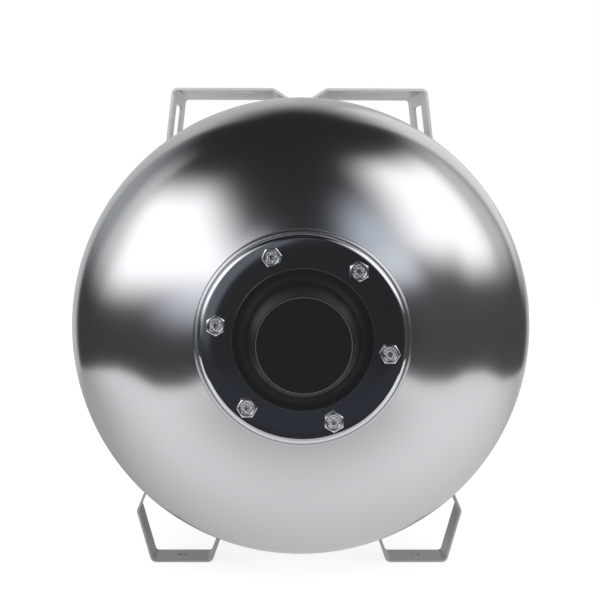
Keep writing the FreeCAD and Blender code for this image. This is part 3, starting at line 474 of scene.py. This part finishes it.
def bead_tree():
    """A tree that sweeps a flat oval round a circle and ripples it."""
    tree, given = start_tree("weld_bead_round_a_circle", {
        "Radius": "Float", "Width": "Float", "Height": "Float", "Ripples": "Float", "Material": "Material"})
    path = add_node(tree, "GeometryNodeCurvePrimitiveCircle",
                    {"Resolution": PATH_STEPS, "Radius": (given, "Radius")})
    oval = add_node(tree, "GeometryNodeCurvePrimitiveCircle", {"Resolution": 14, "Radius": 1.0})
    flat = add_node(tree, "ShaderNodeCombineXYZ", {"X": (given, "Height"), "Y": (given, "Width"), "Z": 1.0})
    sized = add_node(tree, "GeometryNodeTransform", {"Geometry": (oval, 0), "Scale": (flat, 0)})
    band = add_node(tree, "GeometryNodeCurveToMesh",
                    {"Curve": (path, 0), "Profile Curve": (sized, 0), "Fill Caps": False})
    where = add_node(tree, "GeometryNodeInputPosition")
    parts = add_node(tree, "ShaderNodeSeparateXYZ", {"Vector": (where, 0)})
    angle = add_node(tree, "ShaderNodeMath", {0: (parts, "Y"), 1: (parts, "X")}, operation="ARCTAN2")
    # The crescents trail behind at the bead's edges, so the wave's phase grows towards them.
    aside = add_node(tree, "ShaderNodeMath", {0: (parts, "Z"), 1: (given, "Width")}, operation="DIVIDE")
    bowed = add_node(tree, "ShaderNodeMath", {0: (aside, 0), 1: (aside, 0)}, operation="MULTIPLY")
    lag = add_node(tree, "ShaderNodeMath", {0: (bowed, 0), 1: 2.5}, operation="MULTIPLY")
    run = add_node(tree, "ShaderNodeMath",
                   {0: (angle, 0), 1: (given, "Ripples"), 2: (lag, 0)}, operation="MULTIPLY_ADD")
    wave = add_node(tree, "ShaderNodeMath", {0: (run, 0)}, operation="SINE")
    sink = add_node(tree, "ShaderNodeMath",
                    {0: (wave, 0), 1: RIPPLE_SHARE / 2, 2: -RIPPLE_SHARE / 2}, operation="MULTIPLY_ADD")
    depth = add_node(tree, "ShaderNodeMath", {0: (sink, 0), 1: (given, "Height")}, operation="MULTIPLY")
    normal = add_node(tree, "GeometryNodeInputNormal")
    offset = add_node(tree, "ShaderNodeVectorMath", {0: (normal, 0), "Scale": (depth, 0)}, operation="SCALE")
    rippled = add_node(tree, "GeometryNodeSetPosition", {"Geometry": (band, 0), "Offset": (offset, 0)})
    return end_tree(tree, given, rippled)


def bake(piece):
    """Make what a piece's modifiers give its own plain mesh."""
    bpy.context.view_layer.update()
    baked = bpy.data.meshes.new_from_object(piece.evaluated_get(bpy.context.evaluated_depsgraph_get()))
    raw = piece.data
    piece.modifiers.clear()
    piece.data = baked
    bpy.data.meshes.remove(raw)
    baked.name = piece.name


def grown(name, tree, sizes, along, base=None, tilt=0, sharp=180):
    """Run a tree on a base mesh, or on none, and stand the result on the tank's axis."""
    piece = in_scene(name, base or bpy.data.meshes.new(name))
    modifier = piece.modifiers.new(name, "NODES")
    modifier.node_group = tree
    sockets = {item.name: item.identifier for item in tree.interface.items_tree
               if item.item_type == "SOCKET" and item.in_out == "INPUT"}
    for key, size in sizes.items():
        modifier[sockets[key]] = size
    bake(piece)
    piece.data.transform(Matrix.Translation((0, (PLATE_FACE + along) * MM, TANK_AXIS * MM))
                         @ Matrix.Rotation(math.radians(tilt), 4, "X"))
    smooth(piece.data, sharp)
    return piece


ripple_tree = bead_tree()


def weld(name, along, circle, sunk, width, height):
    """A bead round the tank's axis. Its middle line lies sunk under a circle of the given radius."""
    ripples = round(2 * math.pi * circle / RIPPLE_SPACING)
    bead = grown(name, ripple_tree, {"Radius": (circle - sunk) * MM, "Width": width * MM,
                                     "Height": height * MM, "Ripples": float(ripples),
                                     "Material": weld_bead}, along, tilt=-90)
    dress(bead, "tank", "polished_steel")


weld("front_seam_weld", FRONT_SEAM, SHELL_RADIUS, sunk=0.15, width=2.4, height=0.3)
weld("rear_seam_weld", REAR_SEAM, SHELL_RADIUS, sunk=0.15, width=2.4, height=0.3)

# %% [markdown]
# The neck ring is a turned flange whose neck passes through the front head and is welded there. The
# six bolts go through it. It is turned from its own profile, and the bolt holes are cut with a
# boolean, because a hole across a turned face is exactly what a drill makes. Cutting before the
# smoothing keeps the hole's edge crisp.

# %% Neck ring with drilled holes
BOLT_CIRCLE = 125.0
BOLT_COUNT = 6
BOLT_PHASE = -20.8
BOLT_HOLE = 9.0
RING_FRONT = 6.0
RING_BACK = 12.0
RING_RADIUS = 78.5
NECK_BORE = 47.0
NECK_END = 21.5


def bolt_places():
    """Places of the bolts: angle from the top, clockwise as the front is seen, in degrees."""
    return [BOLT_PHASE + 360 / BOLT_COUNT * k for k in range(BOLT_COUNT)]


def drill(piece, first, last):
    """Cut the bolt holes through a piece, from one place along the tank to another."""
    drills = bmesh.new()
    middle = (PLATE_FACE + (first + last) / 2) * MM
    for angle in bolt_places():
        a = math.radians(angle)
        at = (BOLT_CIRCLE / 2 * math.sin(a) * MM, middle, (TANK_AXIS + BOLT_CIRCLE / 2 * math.cos(a)) * MM)
        bmesh.ops.create_cone(drills, cap_ends=True, segments=48, radius1=BOLT_HOLE / 2 * MM,
                              radius2=BOLT_HOLE / 2 * MM, depth=(last - first) * MM,
                              matrix=Matrix.Translation(at) @ Matrix.Rotation(math.radians(90), 4, "X"))
    cutter = finish_mesh("drills", drills, piece.data.materials[0])
    boolean = piece.modifiers.new("holes", "BOOLEAN")
    boolean.object, boolean.operation, boolean.solver = cutter, "DIFFERENCE", "EXACT"
    bake(piece)
    smooth(piece.data, 35)
    bpy.data.objects.remove(cutter)


neck_ring = turned("neck_ring_turned", soften([
    (RING_FRONT, NECK_BORE, 0.5), (NECK_END, NECK_BORE), (NECK_END, MOUTH_RADIUS),
    (RING_BACK, MOUTH_RADIUS, 1.0), (RING_BACK, RING_RADIUS, 0.8), (RING_FRONT, RING_RADIUS, 3.0)]),
    turned_stainless, 240)
drill(neck_ring, RING_FRONT - 2, RING_BACK + 2)
dress(neck_ring, "tank", "polished_steel", "neck_ring")
weld("neck_weld", NECK_END - 1.5, MOUTH_RADIUS + 0.8, sunk=0.0, width=1.6, height=1.5)

# %% [markdown]
# The counter-flange is a pressed plate with a turned-back rim. The radius of that rim is what shows
# in the picture as a bright ring, so it gets a true arc. Pressing also pulls the flat back a little
# before the bend: over the last 9 mm it slopes more and more, to 2 degrees. That is too little to
# see as a shape, but the mirror finish turns it into the soft glow inside the bright ring.

# %% Counter-flange
FLANGE_RADIUS = 75.0
PLATE = 3.0
PORT_RADIUS = 16.625
FLAT_EDGE = 62.0
PULL_WIDTH = 9.0
PULL_STEPS = 8
PULL_SLOPE = math.tan(math.radians(2))

pulled = [(PULL_SLOPE * PULL_WIDTH * (k / PULL_STEPS) ** 2 / 2, FLAT_EDGE + PULL_WIDTH * k / PULL_STEPS)
          for k in range(PULL_STEPS + 1)]
rim_start = pulled[-1][0] + PULL_SLOPE * (FLANGE_RADIUS - FLAT_EDGE - PULL_WIDTH)
counter_flange = turned("counter_flange_buffed", soften([(0.0, PORT_RADIUS, 0.3)] + pulled + [
    (rim_start, FLANGE_RADIUS, 3.5), (RING_FRONT, FLANGE_RADIUS, 0.4),
    (RING_FRONT, FLANGE_RADIUS - PLATE, 0.4), (PLATE, FLANGE_RADIUS - PLATE, 0.5), (PLATE, PORT_RADIUS)], 10),
    buffed_stainless, 320)
drill(counter_flange, -2.0, RING_FRONT + 2)
dress(counter_flange, "tank", "mirror_steel", "counter_flange")

# %% [markdown]
# The water port has a parallel pipe thread, 11 threads to the inch, so its pitch is 2.309 mm. A thread
# is a groove whose place along the pipe grows by one pitch with each turn. So the pipe is made as a
# fine grid, and each point's radius is worked out from where it lies between two crests. The depth
# fades at both ends, as a die leaves it. The bolts take their threads from the same helper.

# %% Water port with its thread
CREST_SHARE = 0.12
PIPE_PITCH = 25.4 / 11
PORT_TIP = -22.0
PORT_BORE = 12.5
PORT_SIDES = 144


def thread_rings(mesh_data, start, end, crest, depth, pitch, tip, chamfer, per_pitch, sides,
                 thread_end=math.inf, centre=ON_TANK):
    """Rings of an outside thread from start to end, chamfered at the tip. All sizes are in millimetres."""
    rings = []
    count = int((end - start) / pitch * per_pitch)
    for i in range(count + 1):
        along = start + (end - start) * i / count
        fade = max(0.0, min(1.0, (along - start) / pitch, (thread_end - along) / pitch))
        line = []
        for k in range(sides):
            phase = ((along - start) / pitch - k / sides) % 1.0
            hollow = (1 - abs(2 * phase - 1) - CREST_SHARE) / (1 - 2 * CREST_SHARE)
            radius = crest - depth * fade * min(1.0, max(0.0, hollow))
            line.append((along, min(radius, crest - chamfer + abs(along - tip))))
        rings.append(ring_of(mesh_data, line, centre))
    return rings


port_mesh = bmesh.new()
port_rings = thread_rings(port_mesh, PORT_TIP, PLATE, PORT_RADIUS, depth=1.2, pitch=PIPE_PITCH,
                          tip=PORT_TIP, chamfer=1.5, per_pitch=10, sides=PORT_SIDES, thread_end=-2.0)
for along in (PLATE, PORT_TIP):
    port_rings.append(ring_of(port_mesh, [(along, PORT_BORE)] * PORT_SIDES))
skin(port_mesh, port_rings + port_rings[:1])
port_socket = finish_mesh("port_socket_threaded", port_mesh, turned_stainless, 40)
dress(port_socket, "tank", "polished_steel", "port_socket")

# %% [markdown]
# The port cap is one moulding: a tapered hat with a brim, a fillet between them, and inside it a
# sleeve that grips the port. Its walls are all about 2 mm, because moulded parts cool evenly so. The
# front is sunk by 0.3 mm inside a narrow lip, which draws the thin line round the dark disc, together
# with a painted highlight that the cap's material lays on that line.

# %% Port cap
CAP_WALL = 2.2
CAP_FACE = -48.0
CAP_LIP = CAP_FACE - 0.3
CAP_INSIDE = CAP_LIP + CAP_WALL
BRIM_FRONT = -4.9
BRIM_INSIDE = BRIM_FRONT + CAP_WALL
BRIM_BACK = -0.3
SLEEVE_RADIUS = 18.775
SLEEVE_BORE = 16.775
SLEEVE_END = -2.5

port_cap = turned("port_cap_moulded", soften([
    (CAP_FACE, 0.0), (CAP_FACE, 32.9, 0.1), (CAP_LIP, 33.2, 0.15), (CAP_LIP, CAP_FRONT, 0.6),
    (BRIM_FRONT, 41.0, 7.0), (BRIM_FRONT, CAP_BRIM, 0.8), (BRIM_BACK, CAP_BRIM, 0.3),
    (BRIM_BACK, CAP_BRIM - CAP_WALL, 0.3), (BRIM_INSIDE, CAP_BRIM - CAP_WALL, 0.5), (BRIM_INSIDE, 39.2, 7.0),
    (CAP_INSIDE, 32.2, 0.6), (CAP_INSIDE, SLEEVE_RADIUS, 0.4), (SLEEVE_END, SLEEVE_RADIUS, 0.4),
    (SLEEVE_END, SLEEVE_BORE, 0.4), (CAP_INSIDE, SLEEVE_BORE, 0.3), (CAP_INSIDE, 0.0)], 12),
    moulded_black, 240)
dress(port_cap, "port_cap", "black_plastic", "port_cap", "port_cap_sleeve")

# %% [markdown]
# Bolts, nuts and ribs are repeated round a circle. One tree does it for all of them: it takes points
# on a circle of radius 1, spreads them to the circle that is asked for, and puts the same piece on
# each. Every point carries its own turn, because no two bolts stop at the same angle when they are
# tightened. The piece is modelled once.

# %% Tree that repeats a piece round a circle


def circle_tree():
    """A tree that puts a turned copy of one piece on each point of a circle."""
    tree, given = start_tree("pieces_on_a_circle", {
        "Geometry": "Geometry", "Piece": "Object", "Circle Radius": "Float", "Material": "Material"})
    where = add_node(tree, "GeometryNodeInputPosition")
    spread = add_node(tree, "ShaderNodeVectorMath",
                      {0: (where, 0), "Scale": (given, "Circle Radius")}, operation="SCALE")
    placed = add_node(tree, "GeometryNodeSetPosition",
                      {"Geometry": (given, "Geometry"), "Position": (spread, 0)})
    turn = add_node(tree, "GeometryNodeInputNamedAttribute", {"Name": "turn"}, data_type="FLOAT")
    angles = add_node(tree, "ShaderNodeCombineXYZ", {"Y": (turn, 0)})
    piece = add_node(tree, "GeometryNodeObjectInfo", {"Object": (given, "Piece")})
    copies = add_node(tree, "GeometryNodeInstanceOnPoints",
                      {"Points": (placed, 0), "Instance": (piece, "Geometry"), "Rotation": (angles, 0)})
    return end_tree(tree, given, copies)


ring_of_pieces = circle_tree()


def repeated(name, master, radius, angles, along, material, turns=(0.0,)):
    """Copies of a master piece on a circle round the tank's axis. The master is then removed."""
    points = bpy.data.meshes.new(name)
    points.from_pydata([(math.sin(math.radians(a)), 0, math.cos(math.radians(a))) for a in angles], [], [])
    attribute = points.attributes.new("turn", "FLOAT", "POINT")
    for k, angle in enumerate(angles):
        attribute.data[k].value = math.radians(angle + turns[k % len(turns)])
    piece = grown(name, ring_of_pieces, {"Piece": master, "Circle Radius": radius * MM, "Material": material},
                  along, points, sharp=35)
    bpy.data.objects.remove(master)
    return piece


# %% [markdown]
# A hexagon bolt head is a hexagonal prism whose corners are cut back by a cone, which leaves a round
# flat face and six curved scallops. Each point of the top is worked out from its angle: how far out
# the hexagon reaches there, and how deep the cone has cut. The middle of the face is a shallow dish
# with a rough ring of raised marks from the heading die, made here of a few crossed waves. The
# shank carries an M8 thread with a pitch of 1.25 mm.

# %% Hexagon with a chamfer cone
# A master piece is made at the origin, as on a bench.
ON_BENCH = (0.0, 0.0)
HEX_FLATS = 13.0
HEX_STEPS = 96
FACE_CIRCLE = 6.11
CONE_SLOPE = 1.3 / 2.99


def hex_reach(angle):
    """How far the hexagon, with a corner at the top, reaches at an angle from the top."""
    aside = (angle + math.pi / 6) % (math.pi / 3) - math.pi / 6
    return HEX_FLATS / 2 / math.cos(math.pi / 6 - abs(aside))


def hexagon(mesh_data, base, face):
    """Rings of a hexagon, from the edge of its base to the round edge of its face."""
    # The base's edge is broken by 0.25 mm, and the edges of the cone and the face by about 0.1 mm.
    facing = -1 if face < base else 1
    reach = [hex_reach(2 * math.pi * k / HEX_STEPS) for k in range(HEX_STEPS)]
    cone = [(abs(face - base) - max(0.0, r - FACE_CIRCLE) * CONE_SLOPE, r) for r in reach]
    lines = [[(0.0, r - 0.25) for r in reach], [(0.25, r) for r in reach],
             [(z - 0.12, r) for z, r in cone], [(z + 0.02, r - 0.12) for z, r in cone],
             [(abs(face - base) - 0.02, FACE_CIRCLE)] * HEX_STEPS,
             [(abs(face - base), FACE_CIRCLE - 0.2)] * HEX_STEPS]
    return [ring_of(mesh_data, [(base + facing * z, r) for z, r in line], ON_BENCH) for line in lines]


def die_mark(radius, angle):
    """Height of the heading die's marks at a place on the face, in millimetres."""
    ring = max(0.0, 1 - abs(radius - 3.1) / 1.5) ** 0.5
    waves = (math.sin(7 * angle + 2.1 * radius) * math.sin(11 * angle - 1.7 * radius)
             + 0.6 * math.sin(4 * angle + 3.3 * radius) + 0.5 * math.sin(17 * angle + 5 * radius))
    return 0.16 * ring * max(-1.0, min(1.0, 1.5 * waves)) - 0.12 * max(0.0, 1 - radius / 1.3)


def marked_face(mesh_data, face, sunk=0.2):
    """Rings of a bolt head's dished face, from its flat edge to its middle. The dish is 9.2 mm wide."""
    lines = [[(face + sunk * share, radius)] * HEX_STEPS
             for radius, share in ((5.0, 0.0), (4.75, 0.6), (4.6, 1.0))]
    for step in range(14):
        radius = 4.4 - 0.3 * step
        lines.append([(face + sunk - die_mark(radius, 2 * math.pi * k / HEX_STEPS), radius)
                      for k in range(HEX_STEPS)])
    return [ring_of(mesh_data, line, ON_BENCH) for line in lines]


print("across corners %.2f mm" % (2 * hex_reach(0)))

# %% [markdown]
# The bolt is modelled once, standing at the origin. Its head's base is sunk by 0.5 mm, because the
# plate slopes away under its outer side. The tree sets six copies on the bolt circle. Their turns are
# those of the picture.

# %% Flange bolts
HEAD_BASE = 0.5
HEAD_FACE = -5.3
SHANK_RADIUS = 4.0
THREAD_START = 5.0
BOLT_LENGTH = 20.0
HEAD_TURNS = (44.0, 19.9, -8.4, 21.5, -10.1, 20.2)

bolt_mesh = bmesh.new()
head = hexagon(bolt_mesh, HEAD_BASE, HEAD_FACE) + marked_face(bolt_mesh, HEAD_FACE)
shank = thread_rings(bolt_mesh, THREAD_START, BOLT_LENGTH, SHANK_RADIUS, depth=0.65, pitch=1.25,
                     tip=BOLT_LENGTH, chamfer=0.8, per_pitch=8, sides=HEX_STEPS, centre=ON_BENCH)
neck = ring_of(bolt_mesh, [(0.0, SHANK_RADIUS)] * HEX_STEPS, ON_BENCH)
for rings in (head, [head[0], neck] + shank):
    skin(bolt_mesh, rings)
    bolt_mesh.faces.new(rings[-1])
bolt = finish_mesh("bolt_master", bolt_mesh, bright_zinc)
flange_bolts = repeated("flange_bolts_plated", bolt, BOLT_CIRCLE / 2, bolt_places(), 0.0, bright_zinc,
                        HEAD_TURNS)
dress(flange_bolts, "tank", "zinc_steel", "flange_bolts")

# %% [markdown]
# The nuts on the back of the neck ring are the same hexagon with a flat face and a bore, countersunk
# at its mouth. They are welded on in one jig, so all stand alike to the tank's axis.

# %% Weld nuts
NUT_HEIGHT = 6.5
NUT_BORE = 4.05

nut_mesh = bmesh.new()
outside = hexagon(nut_mesh, 0.0, NUT_HEIGHT)
bore = [ring_of(nut_mesh, [place] * HEX_STEPS, ON_BENCH)
        for place in ((NUT_HEIGHT, 4.5), (NUT_HEIGHT - 0.4, NUT_BORE), (0.0, NUT_BORE))]
skin(nut_mesh, outside + bore + outside[:1])
nut = finish_mesh("nut_master", nut_mesh, bright_zinc)
weld_nuts = repeated("weld_nuts_plated", nut, BOLT_CIRCLE / 2, bolt_places(), RING_BACK, bright_zinc)
dress(weld_nuts, "tank", "zinc_steel", "weld_nuts")

# %% [markdown]
# Six thin ribs stiffen the cap's sleeve. They are seen only when the cap is off. Each is a small
# rounded block, and the same tree puts it round the circle.

# %% Ribs in the cap
RIB_COUNT = 6
RIB_CIRCLE = 24.8
RIB_WIDTH = 1.6
RIB_LENGTH = 20.0
RIB_HEIGHT = 14.0

rib_mesh = bmesh.new()
bmesh.ops.create_cube(rib_mesh, size=1.0,
                      matrix=Matrix.Diagonal((RIB_WIDTH * MM, RIB_LENGTH * MM, RIB_HEIGHT * MM, 1.0)))
bmesh.ops.bevel(rib_mesh, geom=rib_mesh.edges[:], offset=0.3 * MM, segments=2, affect="EDGES")
rib = finish_mesh("rib_master", rib_mesh, moulded_black)
cap_ribs = repeated("port_cap_ribs", rib, RIB_CIRCLE, [360 / RIB_COUNT * k for k in range(RIB_COUNT)],
                    CAP_INSIDE + RIB_LENGTH / 2, moulded_black)
dress(cap_ribs, "port_cap", "black_plastic")

# %% [markdown]
# The bracket and the feet are flat-sheet work with bends, windows and holes. Their solids already have
# every form, so the visible piece starts from a copy of the solid's own mesh. That mesh is made of
# loose triangles: they are merged and the flat ones joined first, and then a small bevel breaks the
# cut edges by 0.3 mm, as deburring does.

# %% Sheet pieces from their solids
DEBURRING = 0.3


def merged_copy(node):
    """A solid's mesh with its loose triangles merged."""
    mesh_data = bmesh.new()
    mesh_data.from_mesh(nodes[node].data)
    bmesh.ops.remove_doubles(mesh_data, verts=mesh_data.verts, dist=1e-6)
    return mesh_data


def deburred(node, name, material):
    """A copy of a solid's mesh, with its flat triangles joined and its cut edges broken."""
    mesh_data = merged_copy(node)
    bmesh.ops.dissolve_limit(mesh_data, angle_limit=math.radians(0.4), verts=mesh_data.verts,
                             edges=mesh_data.edges)
    piece = finish_mesh(name, mesh_data, material)
    bevel = piece.modifiers.new("deburring", "BEVEL")
    bevel.width, bevel.segments, bevel.limit_method = DEBURRING * MM, 2, "ANGLE"
    bevel.angle_limit = math.radians(40)
    bevel.harden_normals = True
    bake(piece)
    dress(piece, "tank", "sheet_steel", node)


deburred("pump_bracket", "pump_bracket_brushed", brushed_bracket)
for foot_name in ("foot_front_left", "foot_front_right", "foot_rear_left", "foot_rear_right"):
    deburred(foot_name, foot_name + "_brushed", brushed_foot)

# %% [markdown]
# The air valve's spring stands in the core and carries the pin's head. When a gauge presses the pin
# in, the wire coils close up. Here the spring is a smoothed copy of its solid's mesh, on the tank's
# body, with a mesh of its own.

spring = finish_mesh("valve_spring_coil", merged_copy("valve_spring"), spring_wire)
dress(spring, "tank", "spring_steel", "valve_spring")
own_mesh(spring)

# %% [markdown]
# Small and hidden pieces keep their exact solids and only get their finish: the bladder inside, the
# valve's boss, washer, core and pin.

# %% Finishes of the solids
KEPT = {"bladder": black_rubber, "valve_boss": turned_stainless, "valve_washer": black_rubber,
        "valve_stem": turned_brass, "valve_core": turned_brass, "valve_pin": turned_brass,
        "valve_spring": spring_wire, "valve_cap": moulded_black}
for node_name, node in nodes.items():
    node.data.materials.clear()
    node.data.materials.append(KEPT.get(node_name, polished_stainless))
print(len(KEPT), "solids have a finish of their own")

# %% [markdown]
# The floor is a pale sheet. The white background comes from its colour and not from more light on the
# object, so the floor glows a little for the camera and in reflections, while its diffuse part still
# takes the object's shadow. The glow seen in reflections carries painted shade in front of the tank, on
# the left behind the feet, and under and behind the tank. The lower half of the polished head mirrors
# the sheet's outline, so its corners are set where the picture shows the pale field end: it is narrow in
# front, where the camera stands, widest beside the feet, and long at the back.

# %% Floor
WHITE = (1.0, 1.0, 1.0, 1.0)
FLOOR_OUTLINE = [(-0.32, -0.80), (0.38, -0.80), (0.40, -0.64), (0.48, -0.56), (0.62, -0.54), (0.69, -0.43),
                 (0.65, -0.2), (0.72, 0.2), (0.90, 2.6), (-0.90, 2.6), (-0.74, 0.3), (-0.76, -0.2),
                 (-0.71, -0.43), (-0.60, -0.51), (-0.42, -0.53), (-0.34, -0.62)]
# Centres of two patches of painted shade in the glow that reflections see.
PAINTED_SHADE_FRONT = (0, -0.62, 0)
PAINTED_SHADE_CORNER = (-0.4, 0.1, 0)
PAPER_GLOW = 0.81

floor_mesh = bpy.data.meshes.new("studio_floor")
floor_mesh.from_pydata([(x, y, 0) for x, y in FLOOR_OUTLINE], [], [range(len(FLOOR_OUTLINE))])
floor = in_scene("studio_floor", floor_mesh)
paper, tree, place = new_material("white_background_paper")
rays = add_node(tree, "ShaderNodeLightPath")
mirrored = add_node(tree, "ShaderNodeMath",
                    {0: (rays, "Is Transmission Ray"), 1: (rays, "Is Glossy Ray")}, operation="MAXIMUM")
# Painted shade: in reflections the paper is darker in front of the tank, where the camera and its stand
# would shade it, on the left behind the feet, and from under the tank to the back, as the tank's shadow.
fades = []
for spot, near, far, dark, bright in ((PAINTED_SHADE_FRONT, 0.12, 0.36, 0.2, 0.64),
                                      (PAINTED_SHADE_CORNER, 0.2, 0.55, 0.4, 1.0)):
    away = add_node(tree, "ShaderNodeVectorMath", {0: (place, "Object"), 1: spot}, operation="DISTANCE")
    fades.append(add_node(tree, "ShaderNodeMapRange",
                          {"Value": (away, "Value"), "From Min": near, "From Max": far,
                           "To Min": dark, "To Max": bright}, interpolation_type="SMOOTHSTEP"))
depth = add_node(tree, "ShaderNodeSeparateXYZ", {"Vector": (place, "Object")})
# Painted shadow of the tank: the glow that reflections see drops from in front of the tank to under it, and
# stays low behind it.
fades.append(add_node(tree, "ShaderNodeMapRange", {"Value": (depth, "Y"), "From Min": -0.30, "From Max": 0.10,
                                                   "To Min": 1.06, "To Max": 0.4}))
for fade in fades:
    mirrored = add_node(tree, "ShaderNodeMath", {0: (mirrored, 0), 1: (fade, 0)}, operation="MULTIPLY")
seen = add_node(tree, "ShaderNodeMath",
                {0: (rays, "Is Camera Ray"), 1: PAPER_GLOW, 2: (mirrored, 0)}, operation="MULTIPLY_ADD")
matt = add_node(tree, "ShaderNodeBsdfDiffuse", {"Color": linear("#B0B0B0")})
glow = add_node(tree, "ShaderNodeEmission", {"Color": WHITE, "Strength": (seen, 0)})
both = add_node(tree, "ShaderNodeAddShader", {0: (matt, 0), 1: (glow, 0)})
add_node(tree, "ShaderNodeOutputMaterial", {"Surface": (both, 0)})
floor_mesh.materials.append(paper)
print("floor with", len(FLOOR_OUTLINE), "corners")

# %% [markdown]
# Polished metal shows the studio and hardly any colour of its own. The studio is drawn in the world
# shader as a photographer would set it up: a dark hall, a softbox on each side, a pale backdrop round
# the back, and dark gaps at the horizon between them. Each light patch is a soft-edged rectangle in
# compass direction and height. The camera itself sees plain white.

# %% Studio
world = bpy.data.worlds.new("studio")
scene.world = world
world.use_nodes = True
tree = world.node_tree
tree.nodes.clear()
looking = add_node(tree, "ShaderNodeTexCoord")
parts = add_node(tree, "ShaderNodeSeparateXYZ", {"Vector": (looking, "Generated")})
toward = add_node(tree, "ShaderNodeMath", {0: (parts, "Y"), 1: -1.0}, operation="MULTIPLY")
compass = add_node(tree, "ShaderNodeMath", {0: (parts, "X"), 1: (toward, 0)}, operation="ARCTAN2")
compass = add_node(tree, "ShaderNodeMath", {0: (compass, 0)}, operation="DEGREES")
height = add_node(tree, "ShaderNodeMath", {0: (parts, "Z")}, operation="ARCSINE")
height = add_node(tree, "ShaderNodeMath", {0: (height, 0)}, operation="DEGREES")


def patch(west, east, bottom, top, level, tint="#FFFFFF", lean=0.0):
    """A patch of light. Each side is a pair of degrees: where it starts to fade in, and where it is full.

    lean tilts the east side: so many degrees of compass for each degree of height.
    """
    slanted = add_node(tree, "ShaderNodeMath",
                       {0: (height, 0), 1: lean, 2: (compass, 0)}, operation="MULTIPLY_ADD")
    product = None
    for source, (start, full) in ((compass, west), (slanted, east), (height, bottom), (height, top)):
        side = add_node(tree, "ShaderNodeMapRange",
                        {"Value": (source, 0), "From Min": start, "From Max": full},
                        interpolation_type="SMOOTHSTEP")
        if product:
            side = add_node(tree, "ShaderNodeMath", {0: (product, 0), 1: (side, 0)}, operation="MULTIPLY")
        product = side
    colour = tuple(c * level for c in linear(tint)[:3])
    return add_node(tree, "ShaderNodeVectorMath", {0: colour, "Scale": (product, 0)}, operation="SCALE")


PATCHES = [
    # The two softboxes, then the paler wall behind each of them.
    patch((-106, -63), (7, -17), (0, 15), (52, 33), 1.8, lean=0.714),
    patch((48, 66), (116, 74), (6.5, 21), (62, 46), 1.75),
    patch((16, 48), (116, 74), (10, 25), (62, 46), 1.75),
    patch((-128, -82), (-70, -84), (0, 20), (62, 36), 0.95),
    patch((-140, -128), (-70, -84), (0, 24), (64, 32), 0.52, "#EEF2F8"),
    patch((68, 84), (142, 106), (4, 20), (64, 42), 0.78),
    # Bluish daylight that spills past the inner edges of the softboxes.
    patch((-60, -30), (-4, -14), (-8, 9), (30, 16), 1.35, "#E9EEF7"),
    patch((6, 22), (40, 31), (4, 14), (46, 24), 0.95, "#E2EAF6"),
    patch((14, 27), (44, 32), (6, 13), (30, 18), 1.2, "#ECF1F8"),
    # The backdrop round the back, and a faint light along the horizon on both sides.
    patch((118, 131), (176, 158), (-4, 14), (80, 44), 1.0),
    patch((126, 150), (400, 390), (-90, -89), (82, 46), 0.6),
    patch((-400, -390), (-124, -136), (-90, -89), (80, 44), 0.66),
    patch((-400, -390), (-18, -40), (-90, -89), (34, 10), 0.06),
    patch((18, 40), (400, 390), (-90, -89), (34, 10), 0.085),
    # What stands in front of the tank, seen only in the flat flange.
    patch((-30, -12), (-0.2, -1.1), (-6.8, -4.0), (14, 0), 0.21, "#DDE6F2", lean=-0.63),
    patch((-30, -20), (30, 20), (-12, -10), (-5.2, -7), 0.06, "#D2DEF0"),
]
DARK_HALL = (0.028, 0.028, 0.029)
EVEN_GREY = (0.75, 0.75, 0.76, 1.0)
light = add_node(tree, "ShaderNodeVectorMath", {0: DARK_HALL, 1: (PATCHES[0], 0)}, operation="ADD")
for item in PATCHES[1:]:
    light = add_node(tree, "ShaderNodeVectorMath", {0: (light, 0), 1: (item, 0)}, operation="MAXIMUM")
rays = add_node(tree, "ShaderNodeLightPath")
# Light that reaches matt surfaces is an even grey, so that colours render as they are written.
ambient = add_node(tree, "ShaderNodeMix",
                   {"Factor": (rays, "Is Diffuse Ray"), 6: (light, 0), 7: EVEN_GREY}, data_type="RGBA")
shown = add_node(tree, "ShaderNodeMix",
                 {"Factor": (rays, "Is Camera Ray"), 6: (ambient, 2), 7: WHITE}, data_type="RGBA")
background = add_node(tree, "ShaderNodeBackground", {"Color": (shown, 2), "Strength": 1.0})
add_node(tree, "ShaderNodeOutputWorld", {"Surface": (background, 0)})

LAMP_SIDE = 2.4
LAMP_PLACE = (0, 0.1, 2.4)
LAMP_WATTS = 11.0

overhead = bpy.data.lights.new("overhead_softbox", "AREA")
overhead.size = LAMP_SIDE
overhead.energy = LAMP_WATTS
lamp = in_scene("overhead_softbox", overhead)
lamp.location = LAMP_PLACE
lamp.visible_camera = False
lamp.visible_glossy = False
print(len(PATCHES), "patches of light and one lamp of", LAMP_WATTS, "W")

# %% [markdown]
# The camera stands 1.3 m in front of the flange, a little above the middle, and looks slightly down
# with a long lens, as product pictures are taken.

# %% Camera
CAMERA_PLACE = (-0.01875, -1.56635, 0.3130)
YAW, PITCH, ROLL = 0.0130, 0.0700, 0.003
SENSOR_WIDTH = 36.0
FOCAL_LENGTH = 108.45

forward = Vector((math.sin(YAW) * math.cos(PITCH), math.cos(YAW) * math.cos(PITCH), -math.sin(PITCH)))
right = Vector((math.cos(YAW), -math.sin(YAW), 0))
up = right.cross(forward)
right_rolled = right * math.cos(ROLL) + up * math.sin(ROLL)
up_rolled = up * math.cos(ROLL) - right * math.sin(ROLL)
lens = bpy.data.cameras.new("camera")
lens.sensor_width, lens.lens = SENSOR_WIDTH, FOCAL_LENGTH
camera = in_scene("camera", lens)
turn = Matrix((right_rolled, up_rolled, -forward)).transposed()
camera.matrix_world = Matrix.Translation(CAMERA_PLACE) @ turn.to_4x4()
scene.camera = camera
scene.view_settings.view_transform = "Standard"
print("camera %.2f m in front of the flange" % (PLATE_FACE * MM - CAMERA_PLACE[1]))
